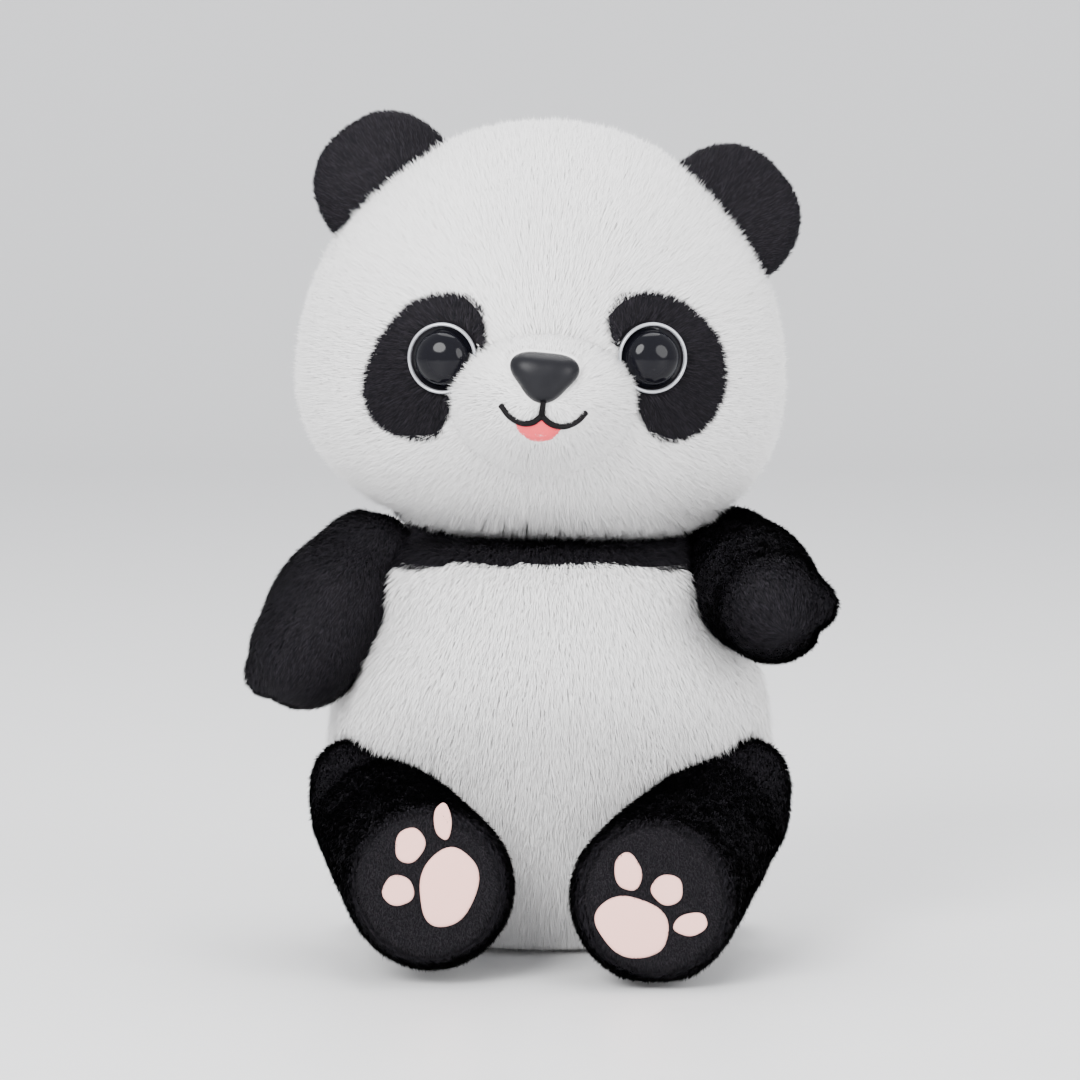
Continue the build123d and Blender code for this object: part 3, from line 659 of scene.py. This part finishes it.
def head_flow(roots):
    """Pile brushed away from the nose in front and downwards behind."""
    away = roots - np.array([NOSE_MIDDLE[0], NOSE_FRONT + 20, NOSE_MIDDLE[2] - 4])
    behind = np.clip(roots[:, 1] / 40, 0, 1)[:, None]
    flow = unit(away) * (1 - behind) + np.array([0, 0.2, -1.0]) * behind
    seam = to_head(roots)[:, 0]
    part = np.exp(-((seam / 3) ** 2)) * (roots[:, 2] < HEAD_MIDDLE[2] - PARTING_DROP)
    flow[:, 0] += np.sign(seam) * part * 0.35
    return flow


def eye_distance(name, p):
    """How far places are from the axis of an eye."""
    middle, across, up, _ = eye_frame(name)
    q = p - middle
    return np.hypot(q @ across, q @ up)


def near_eye(roots, grow):
    """Which places lie behind an eye."""
    hidden = np.zeros(len(roots), bool)
    for name in SIDES:
        hidden |= (eye_distance(name, roots) < EYE_RING_RADIUS + grow) & (roots[:, 1] < 0)
    return hidden


def in_patch(roots):
    """Which places on the head lie in an eye patch."""
    inside = np.zeros(len(roots), bool)
    for name in SIDES:
        inside |= inside_outline(roots[:, (0, 2)], patch_line(name)) & (roots[:, 1] < 0)
    return inside


def patch_keepout(p):
    """Less than nothing in front of an eye patch."""
    return np.where(in_patch(p), -1.0, 1.0)


def make_head():
    """The four panels of the head and their coats, bare behind patches, eyes, muzzle and ears."""
    points, faces = skin_of(head_form, HEAD_MIDDLE, 120, 6)
    normals = normals_of(points, faces)
    sideways = np.array([math.cos(HEAD_ROLL), 0, -math.sin(HEAD_ROLL)])
    quarters = {
        "face_left": ((0, -1, 0), sideways), "face_right": ((0, -1, 0), -sideways),
        "head_back_left": ((0, 1, 0), sideways), "head_back_right": ((0, 1, 0), -sideways),
    }
    roots, out = scatter(points, faces, normals, "head")
    bare = in_patch(roots) | near_eye(roots, 0.5) | (muzzle_form(roots) < 0.5)
    for name in SIDES:
        bare |= ear_form(name, roots) < -1.0
    bare |= (np.hypot(roots[:, 0], roots[:, 1]) < NECK_RADIUS) & (roots[:, 2] < HEAD_MIDDLE[2])
    roots, out = roots[~bare], out[~bare]
    flow = head_flow(roots)
    length = 7.6 - 2.6 * np.exp(-((np.linalg.norm(roots - MUZZLE_MIDDLE, axis=1) / 45) ** 4))
    chin = roots[:, 2] < HEAD_MIDDLE[2] - CHIN_DROP
    lengths = length + 1.2 * np.clip((HEAD_MIDDLE[2] - 30 - roots[:, 2]) / 14, 0, 1)
    for node, (facing, side) in quarters.items():
        add_skin(node, points, faces, "head", "white_plush",
                 [(HEAD_MIDDLE, facing), (HEAD_MIDDLE, tuple(side))])
        mine = ((roots - HEAD_MIDDLE) @ np.array(facing) > 0) & ((roots - HEAD_MIDDLE) @ side > 0)
        for part, there, lean, tuft, pull in (("pile", mine & ~chin, (46, 72), 3, 0.3),
                                              ("chin", mine & chin, (18, 44), 9, 0.6)):
            add_pile(f"{node}_{part}", "head", "white_plush", roots[there], out[there], flow[there],
                     lengths[there], lean=lean, tuft=tuft, pull=pull, clear_of=[(patch_keepout, 0.0)])


def make_patch(name):
    """Black fabric round an eye: it follows the head, a hair above it."""
    line = patch_line(name)
    flat, faces = disc_grid(line, 12)
    y = front_of(head_form, flat[:, 0], flat[:, 1]) - 0.35
    points = np.stack([flat[:, 0], y, flat[:, 1]], axis=1)
    if SIDES[name] > 0:
        faces = [face[::-1] for face in faces]
    add_skin(f"eye_patch_{name}", points, faces, "head", "black_plush")
    halves = [half for f in faces for half in ((f[0], f[1], f[2]), (f[0], f[2], f[-1]))]
    triangles = np.array([half for half in halves if len(set(half)) == 3])
    normals = normals_of(points, triangles)
    normals *= np.sign(-normals[:, 1])[:, None]
    roots, out = scatter(points, triangles, normals, "patch")
    keep = ~near_eye(roots, 0.2) & ~(muzzle_form(roots) < 0.3)
    roots, out = roots[keep], out[keep]
    middle = eye_frame(name)[0]
    flow = unit(roots - middle) + np.array([SIDES[name] * 0.25, 0, -0.1])
    add_pile(f"eye_patch_{name}_pile", "head", "black_plush", roots, out, flow, 4.4,
             lean=(30, 55), width=0.4, tuft=5, clear_of=[(eye_keepout, 0.0)])


def eye_keepout(p):
    """Distance from the room in front of both eyes that no strand may cross."""
    return np.minimum(*[eye_distance(name, p) - EYE_RING_RADIUS for name in SIDES])


def lathe(profile, frame_axes, steps=64):
    """A turned form: (radius, height) pairs about the outward direction of a frame."""
    middle, across, up, out = frame_axes
    angles = np.arange(steps) * 2 * math.pi / steps
    circle = np.outer(np.cos(angles), across) + np.outer(np.sin(angles), up)
    points = [middle + out * height + radius * circle for radius, height in profile]
    return np.concatenate(points), bands(len(profile), steps)


def make_eye(name):
    """Glossy dome in a dark cup with a narrow silver rim."""
    axes = eye_frame(name)
    dome_radius, dome_height, seat = 9.2, 6.0, 0.4
    curve = [math.radians(a) for a in np.linspace(0, 90, 17)]
    dome = [(dome_radius + 1.0, -1.5), (dome_radius + 0.9, seat - 0.2)]
    dome += [(dome_radius * math.cos(a) ** 0.9 + 0.001, seat + dome_height * math.sin(a)) for a in curve]
    points, faces = lathe(dome, axes)
    piece = add_mesh(f"eye_dome_{name}_glossy", points, faces, "head", EYE_PLASTIC)
    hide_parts(f"eye_dome_{name}")
    rim_middle, rim_half = 11.3, 0.62
    turn = [math.radians(a) for a in np.linspace(-60, 240, 13)]
    rim = [(rim_middle + rim_half * math.cos(a), 0.9 + 0.95 * math.sin(a)) for a in turn]
    points, faces = lathe(rim, axes)
    piece = add_mesh(f"eye_ring_{name}_rim", points, faces, "head", EYE_RIM)
    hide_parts(f"eye_ring_{name}")


def make_muzzle():
    """The padded muzzle, its pile cropped short round the nose and the mouth."""
    points, faces = skin_of(muzzle_form, MUZZLE_MIDDLE, 60, 5)
    outside = head_form(points) > -3
    keep = [face for face in faces if outside[face].any()]
    used = np.unique(np.array(keep))
    renumber = -np.ones(len(points), int)
    renumber[used] = np.arange(len(used))
    add_skin("muzzle_cover", points[used], renumber[np.array(keep)], "head", "white_plush")
    roots, out = roots_on(points, faces, "muzzle", lambda p: (head_form(p) > -0.5) & ~in_nose(p, 0.3))
    flow = roots - np.array([NOSE_MIDDLE[0], roots[:, 1].mean() - 30, NOSE_MIDDLE[2] - 3])
    trim = np.clip(mouth_distance(roots) / 7.0, 0.25, 1.0)
    from_nose = np.hypot(roots[:, 0] - NOSE_MIDDLE[0], roots[:, 2] - NOSE_MIDDLE[2])
    nose_trim = np.clip(from_nose / 22 - 0.1, 0.3, 1.0)
    add_pile("muzzle_cover_pile", "head", "white_plush", roots, out, flow,
             6.6 * np.minimum(trim, nose_trim), lean=(40, 66), pull=0.3)


NOSE_HALF_WIDTH = (nose_high[0] - nose_low[0]) / 2
NOSE_HALF_HEIGHT = (nose_high[2] - nose_low[2]) / 2
NOSE_TURN = -HEAD_ROLL


def nose_outline(steps=72):
    """A soft triangle, point down, as X and Z round its middle."""
    a = np.arange(steps) * 2 * math.pi / steps
    pull = 1 + 0.11 * np.sin(3 * a)
    x = np.cos(a) * pull * (1 + 0.10 * np.sin(a)) * NOSE_HALF_WIDTH
    z = np.sin(a) * pull * NOSE_HALF_HEIGHT
    c, s = math.cos(NOSE_TURN), math.sin(NOSE_TURN)
    return np.stack([x * c - z * s, x * s + z * c], axis=1)


def in_nose(roots, grow):
    flat = roots[:, (0, 2)] - (NOSE_MIDDLE[0], NOSE_MIDDLE[2])
    outline = nose_outline() * (1 + grow / NOSE_HALF_HEIGHT)
    return inside_outline(flat, outline) & (roots[:, 1] < MUZZLE_MIDDLE[1])


def make_nose():
    """Moulded nose: a soft triangle that domes forward, with a rounded edge."""
    outline = nose_outline()
    back = front_of(muzzle_form, np.array([NOSE_MIDDLE[0]]), np.array([NOSE_MIDDLE[2]]))[0] + 2.0
    depth = back - NOSE_FRONT - 0.4
    turn = np.linspace(0, math.pi / 2, 14)
    rows = [(1.0, 0.0)] + [(math.cos(a) ** 0.7 + 0.001, 0.3 + 0.7 * math.sin(a)) for a in turn]
    points = []
    for share, height in rows:
        flat = outline * share
        slope = 0.10 * flat[:, 1]  # the upper edge lies further back than the tip
        points.append(np.stack([flat[:, 0], slope - height * depth, flat[:, 1]], axis=1))
    faces = bands(len(rows), len(outline))
    points = np.concatenate(points) + (NOSE_MIDDLE[0], back, NOSE_MIDDLE[2])
    piece = add_mesh("nose_moulding", points, [f[::-1] for f in faces], "head", NOSE_PLASTIC)
    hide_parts("nose")


MOUTH_MIDDLE = np.array([NOSE_MIDDLE[0] - 0.8, box_of("mouth_thread")[0][2] + 2.6])
MOUTH_RELIEF = 1.5  # how far the stitching stands out of the muzzle's backing
THREAD_RADIUS = 0.98
MOUTH_STROKES = (  # the line under the nose and the two sides of the smile, as X and Z from its middle
    ((0.6, 4.6), (0.2, 1.8), (0.0, -0.2)),
    ((0.0, -0.2), (-3.0, -2.4), (-6.6, -2.6), (-10.4, -0.6), (-13.6, 3.4)),
    ((0.0, -0.2), (3.2, -2.9), (7.4, -3.8), (11.6, -2.2), (14.8, 1.0)),
)


def open_curve(points, per_span=8):
    """A smooth line through a few points, open at its ends."""
    points = np.array(points, float)
    padded = np.vstack([2 * points[0] - points[1], points, 2 * points[-1] - points[-2]])
    line = []
    for k in range(1, len(padded) - 2):
        line += [between(*padded[k - 1:k + 3], t) for t in np.arange(per_span) / per_span]
    line.append(padded[-2])
    return np.array(line)


def mouth_lines():
    return [open_curve(stroke) + MOUTH_MIDDLE for stroke in MOUTH_STROKES]


def mouth_distance(roots):
    """How far each place is from the smile and the tongue."""
    tongue_line = MOUTH_MIDDLE + (0, -6.5) + open_curve(((-3, 0), (0, -1), (3, 0)))
    line = np.concatenate(mouth_lines() + [tongue_line])
    flat = roots[:, (0, 2)]
    return np.min(np.linalg.norm(flat[:, None, :] - line[None, ::3, :], axis=2), axis=1)


def tube(points, radii, sides=10):
    """A round thread along a line."""
    tangents = unit(np.gradient(points, axis=0))
    side = unit(np.cross(tangents, np.array([0.0, -1.0, 0.0])))
    up = np.cross(side, tangents)
    angles = np.arange(sides) * 2 * math.pi / sides
    rings = [p + r * (np.outer(np.cos(angles), s) + np.outer(np.sin(angles), u))
             for p, r, s, u in zip(points, radii, side, up)]
    faces = bands(len(points), sides)
    faces += [tuple(range(sides))[::-1], tuple(range((len(points) - 1) * sides, len(points) * sides))]
    return np.concatenate(rings), faces


def make_mouth():
    """Satin stitching for the smile: one thread along each stroke, its thickness rippling like stitches laid side
    by side.
    """
    points, faces = [], []
    for line in mouth_lines():
        y = front_of(muzzle_form, line[:, 0], line[:, 1]) - MOUTH_RELIEF
        path = np.stack([line[:, 0], y, line[:, 1]], axis=1)
        dense = open_curve(path, 6)
        ripple = 1 + 0.10 * np.sin(np.arange(len(dense)) * 2.4)
        taper = np.clip(np.minimum(np.arange(len(dense)), np.arange(len(dense))[::-1]) / 6 + 0.6, 0, 1)
        ring, joined = tube(dense, THREAD_RADIUS * ripple * taper)
        start = sum(map(len, points))
        points.append(ring)
        faces += [tuple(k + start for k in face) for face in joined]
    piece = add_mesh("mouth_thread_stitching", np.concatenate(points), faces, "head", MOUTH_THREAD)
    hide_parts("mouth_thread")


TONGUE_OUTLINE = np.array([(0.0, -0.4), (-4.2, -2.4), (-8.4, -2.8), (-7.0, -6.6), (-2.2, -9.0), (3.2, -8.3),
                           (6.2, -4.8), (3.8, -2.8)])
TONGUE_RINGS = 8


def make_tongue():
    """A little felt tongue under the smile, rounded at its edge."""
    line = closed_curve(TONGUE_OUTLINE, 8) + MOUTH_MIDDLE
    flat, faces = disc_grid(line, TONGUE_RINGS)
    ring = np.concatenate([[0], np.repeat(np.arange(1, TONGUE_RINGS + 1), len(line))]) / TONGUE_RINGS
    y = front_of(muzzle_form, flat[:, 0], flat[:, 1])
    relief = 0.6 + 1.2 * np.sqrt(np.clip(1 - ring**4, 0, 1))
    points = np.stack([flat[:, 0], y - relief, flat[:, 1]], axis=1)
    faces = [face[::-1] for face in faces]
    piece = add_mesh("tongue_felt_piece", points, faces, "head", TONGUE_FELT)
    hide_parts("tongue")


def make_ear(name):
    """A padded ear of two panels, with short pile."""
    _, _, outward, root = ear_axes(name)
    middle = root + outward * 7

    points, faces = skin_of(partial(ear_form, name), middle, 60, 5)
    for node, facing in ((f"ear_front_{name}", (0, -1, 0)), (f"ear_back_{name}", (0, 1, 0))):
        add_skin(node, points, faces, f"ear_{name}", "black_plush", [(middle, facing)])
    roots, out = roots_on(points, faces, "ear", lambda p: head_form(p) > -1.5)
    flow = np.broadcast_to(outward, roots.shape) + unit(roots - root) * 0.5
    add_pile(f"ear_{name}_pile", f"ear_{name}", "black_plush", roots, out, flow, 3.6,
             lean=(35, 64), width=0.4, tuft=4, pull=0.4)


# ---- torso and tail

YOKE_EDGE_SHARE = 0.965  # height of the black yoke's lower edge, as a share of the torso


def yoke_edge(roots):
    """Height of the yoke's lower edge: level in front, lower towards the arms."""
    side = np.clip((np.abs(roots[:, 0] + 3) - 24) / 20, 0, 1)
    return TORSO_TOP * (YOKE_EDGE_SHARE - 0.022 * side)


def make_torso():
    """The six panels of the torso and their coats."""
    middle = np.array([0.0, 0.0, TORSO_TOP * 0.45])
    points, faces = skin_of(torso_form, middle, 120, 6)
    edge = (0, 0, TORSO_TOP * (YOKE_EDGE_SHARE - 0.012))
    hem = (0, 0, 4.0)
    up, down, ahead, behind = (0, 0, 1), (0, 0, -1), (0, -1, 0), (0, 1, 0)
    wall = [(edge, down), (hem, up)]
    panels = {
        "yoke_front": ("black_plush", [(edge, up), (middle, ahead)]),
        "yoke_back": ("black_plush", [(edge, up), (middle, behind)]),
        "belly_panel": ("white_plush", wall + [(middle, ahead)]),
        "back_panel_left": ("white_plush", wall + [(middle, behind), (middle, (1, 0, 0))]),
        "back_panel_right": ("white_plush", wall + [(middle, behind), (middle, (-1, 0, 0))]),
        "base_panel": ("base_cloth", [(hem, down)]),
    }
    for node, (slot, cuts) in panels.items():
        add_skin(node, points, faces, "torso", slot, cuts)
    limbs = [(partial(form, name), 1.0) for form in (arm_form, leg_form) for name in SIDES]
    roots, out = roots_on(points, faces, "torso", lambda p: (p[:, 2] > 5.0) & (head_form(p) > -1))
    black = roots[:, 2] > yoke_edge(roots) + waves(roots, 8, 9, 0.5)
    flow = np.stack([roots[:, 0] * 0.006, roots[:, 1] * 0.002, -np.ones(len(roots))], axis=1)
    front = roots[:, 1] < 0
    left = roots[:, 0] > 0
    coats = {
        "belly_panel": (~black & front, "white_plush", 6.0),
        "back_panel_left": (~black & ~front & left, "white_plush", 7.0),
        "back_panel_right": (~black & ~front & ~left, "white_plush", 7.0),
        "yoke_front": (black & front, "black_plush", 5.0),
        "yoke_back": (black & ~front, "black_plush", 5.0),
    }
    for node, (mine, slot, length) in coats.items():
        reach = np.minimum(length, np.maximum(1.5, (roots[mine, 2] - 1.0) * 0.9))
        add_pile(f"{node}_pile", "torso", slot, roots[mine], out[mine], flow[mine], reach,
                 lean=(48, 74), tuft=3, pull=0.28, clear_of=limbs + [(head_form, 0.5)])


def neck_form(p):
    """The swivel inside the head and its stem."""
    pivot = joint_place("head_nod")
    stem = rod(p, pivot, pivot - (0, 0, STEM_LENGTH), STEM_RADIUS, STEM_RADIUS)
    return np.minimum(ball(p, pivot, NECK_RADIUS), stem)


def make_neck():
    """The black plush sleeve between yoke and head, which shows only when the head nods."""
    middle = joint_place("head_nod") - (0, 0, 6)
    points, faces = skin_of(neck_form, middle, 60, 5)
    piece = add_mesh("neck_core_sleeve", points, faces, "neck", BLACK_BACKING)
    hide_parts("neck_core")
    roots, out = roots_on(points, faces, "neck", lambda p: (p[:, 2] < middle[2] - 4) & (torso_form(p) > -1))
    flow = out * (1, 1, 0) + (0, 0, -0.6)
    add_pile("neck_core_pile", "neck", "black_plush", roots, out, flow, 4.0, lean=(30, 50))


def make_tail():
    """A small round tail low on the back."""
    points, faces = skin_of(tail_form, TAIL_MIDDLE, 30, 4)
    add_skin("tail_cover", points, faces, "tail", "white_plush")
    roots, out = roots_on(points, faces, "tail", lambda p: torso_pear(p) > -1)
    flow = out * 0.3 + np.array([0, 0.3, -1.0])
    add_pile("tail_cover_pile", "tail", "white_plush", roots, out, flow, 6.0, tuft=5)


# ---- limbs

def make_arm(name):
    """An arm of two panels, with pile that runs down to the paw."""
    root, paw = SHOULDER[name], PAW[name]
    middle = root + (paw - root) * 0.55

    points, faces = skin_of(partial(arm_form, name), middle, 70, 6)
    line = (paw - root) / np.linalg.norm(paw - root)
    outward = np.array([SIDES[name], 0, 0])
    outward = outward - line * (outward @ line)
    for node, facing in ((f"arm_outer_{name}", outward), (f"arm_inner_{name}", -outward)):
        add_skin(node, points, faces, f"arm_{name}", "black_plush", [(root, tuple(facing))])
    roots, out = roots_on(points, faces, "arm", lambda p: (torso_pear(p) > -4) & (head_form(p) > -1))
    flow = np.broadcast_to(line, roots.shape) + np.array([0, 0, -0.2])
    add_pile(f"arm_{name}_pile", f"arm_{name}", "black_plush", roots, out, flow, 3.6,
             lean=(44, 70), width=0.32, tuft=4, pull=0.35, clear_of=[(head_form, 0.5)])


PADS = {  # main pad and toe pads: right and up from the middle of the sole, half sizes, turn in degrees
    "right": (((6.6, -1.0), (9.4, 13.2), -14), ((4.8, 20.4), (2.9, 6.0), 4), ((-6.0, 12.6), (4.8, 5.9), -18),
              ((-9.8, -2.2), (5.2, 5.0), 0)),
    "left": (((-7.4, -9.4), (12.4, 9.6), -24), ((-8.8, 8.4), (4.4, 6.3), 12), ((4.0, 2.6), (5.2, 5.0), -20),
             ((11.6, -8.6), (5.6, 3.7), 12)),
}
PAD_RELIEF = 1.5
PAD_STEPS = 48


def make_pads(name):
    """Pink paw print: soft ovals laid on the sole, a little domed."""
    middle, out, right, up = sole_frame(name)
    rows = [(1.0, 0.0), (1.0, 0.6), (0.97, 0.85), (0.9, 0.96), (0.7, 1.0), (0.4, 1.0), (0.001, 1.0)]
    groups = {f"leg_main_pad_{name}": PADS[name][:1], f"leg_toe_pads_{name}": PADS[name][1:]}
    for node, pads in groups.items():
        points, faces = [], []
        for (x, z), (half_x, half_z), turn in pads:
            a = np.arange(PAD_STEPS) * 2 * math.pi / PAD_STEPS
            shape = 1 + 0.03 * np.sin(3 * a + x) + 0.02 * np.sin(5 * a + z)
            c, s = math.cos(math.radians(turn)), math.sin(math.radians(turn))
            flat_x, flat_z = np.cos(a) * half_x * shape, np.sin(a) * half_z * shape
            flat = np.stack([flat_x * c - flat_z * s, flat_x * s + flat_z * c], axis=1)
            for share, height in rows:
                place = flat * share + (x, z)
                level = middle + np.outer(place[:, 0], right) + np.outer(place[:, 1], up)
                points.append(level + out * height * PAD_RELIEF)
        for pad in range(len(pads)):
            faces += bands(len(rows), PAD_STEPS, pad * len(rows) * PAD_STEPS)
        piece = add_mesh(f"{node}_felt", np.concatenate(points), faces, f"leg_{name}", PINK_PAD)
        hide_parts(node)


def on_pad(name, x, z, grow):
    """Which places on a sole lie under a pad."""
    covered = np.zeros(len(x), bool)
    for (pad_x, pad_z), (half_x, half_z), turn in PADS[name]:
        c, s = math.cos(math.radians(turn)), math.sin(math.radians(turn))
        u = (x - pad_x) * c + (z - pad_z) * s
        v = -(x - pad_x) * s + (z - pad_z) * c
        covered |= (u / (half_x + grow)) ** 2 + (v / (half_z + grow)) ** 2 < 1
    return covered


def make_leg(name):
    """A leg that ends in a flat velour sole with its paw print."""
    middle, out_way, right, up = sole_frame(name)
    foot = middle - out_way * SOLE_OFFSET
    hip = HIP[name]
    centre = foot + (hip - foot) * 0.42

    points, faces = skin_of(partial(leg_form, name), centre, 110, 6)
    normals = normals_of(points, faces)
    sole_edge = middle - out_way * 1.6
    add_skin(f"leg_cover_{name}", points, faces, f"leg_{name}", "black_plush",
             [(sole_edge, tuple(-out_way))])
    add_skin(f"leg_sole_{name}", points, faces, f"leg_{name}", "sole_velour",
             [(sole_edge, tuple(out_way))])
    roots, out = scatter(points, faces, normals, "leg")
    flat = (roots - middle) @ out_way > -1.2
    keep = (torso_pear(roots) > -5) & ~flat
    flow = np.broadcast_to((foot - hip) / np.linalg.norm(foot - hip), roots.shape)
    flow = flow + np.array([0, 0, -0.35])
    add_pile(f"leg_{name}_pile", f"leg_{name}", "black_plush", roots[keep], out[keep], flow[keep],
             np.minimum(3.8, np.maximum(1.2, roots[keep, 2] - 0.8)), lean=(44, 70), width=0.32, tuft=4, pull=0.35)
    bare = flat & ~on_pad(name, (roots - middle) @ right, (roots - middle) @ up, -0.4)
    add_pile(f"leg_sole_{name}_pile", f"leg_{name}", "sole_velour", roots[bare], out[bare],
             np.broadcast_to(np.array([0.2, 0, -1.0]), roots[bare].shape), 1.5, lean=(30, 45), width=0.3,
             tuft=1, pull=0.1, wild=0.3)
    make_pads(name)


# ---- stage

CAMERA_DISTANCE = 1800.0
CAMERA_ELEVATION = math.radians(5.0)
AIM = np.array([-3.45, 0.0, 137.6])
LENS = 174.0
LAMP_AIM = Vector((0, 0, 0.13))


def make_camera():
    data = bpy.data.cameras.new("camera")
    data.lens = LENS
    data.sensor_width = 36.0
    data.clip_end = 20.0
    camera = put("camera", data)
    offset = np.array([0, -math.cos(CAMERA_ELEVATION), math.sin(CAMERA_ELEVATION)]) * CAMERA_DISTANCE
    camera.location = Vector((AIM + offset) * MM)
    camera.rotation_euler = Euler((math.pi / 2 - CAMERA_ELEVATION, 0, 0))
    bpy.context.scene.camera = camera


def add_light(name, place, size, power):
    data = bpy.data.lights.new(name, "AREA")
    data.shape = "DISK"
    data.size = size
    data.energy = power
    light = put(name, data)
    light.location = Vector(place)
    light.rotation_euler = (LAMP_AIM - light.location).to_track_quat("-Z", "Y").to_euler()


def make_stage():
    """Pale floor that runs up into a backdrop, a pale sky and three soft lamps."""
    floor_material = new_material("pale_floor", (0.80, 0.80, 0.80), (0.35, 0.5))
    width, depth, height, bend = 6.0, 2.2, 3.0, 0.8
    profile = [(-2.5, 0.0)] + [
        (depth + bend * math.sin(a), bend - bend * math.cos(a)) for a in np.linspace(0, math.pi / 2, 14)
    ] + [(depth + bend, height)]
    points = [(x, y, z) for y, z in profile for x in (-width, width)]
    faces = [(2 * k, 2 * k + 1, 2 * k + 3, 2 * k + 2) for k in range(len(profile) - 1)]
    mesh = bpy.data.meshes.new("floor")
    mesh.from_pydata(points, [], faces)
    for face in mesh.polygons:
        face.use_smooth = True
    mesh.materials.append(floor_material)
    floor = put("floor", mesh)
    world = bpy.data.worlds.new("soft_room")
    world.use_nodes = True
    world.node_tree.nodes["Background"].inputs["Color"].default_value = (0.95, 0.96, 1.0, 1)
    world.node_tree.nodes["Background"].inputs["Strength"].default_value = 1.25
    bpy.context.scene.world = world
    add_light("key", (-0.8, -1.5, 1.1), 1.1, 62)
    add_light("fill", (1.3, -1.3, 0.7), 1.1, 26)
    add_light("top", (0.1, 0.4, 1.6), 1.2, 22)


# ---- assembly

make_camera()
make_stage()
dress_cad_nodes()
make_head()
make_muzzle()
make_nose()
make_mouth()
make_tongue()
make_torso()
make_neck()
make_tail()
for side_name in SIDES:
    make_patch(side_name)
    make_eye(side_name)
    make_ear(side_name)
    make_arm(side_name)
    make_leg(side_name)
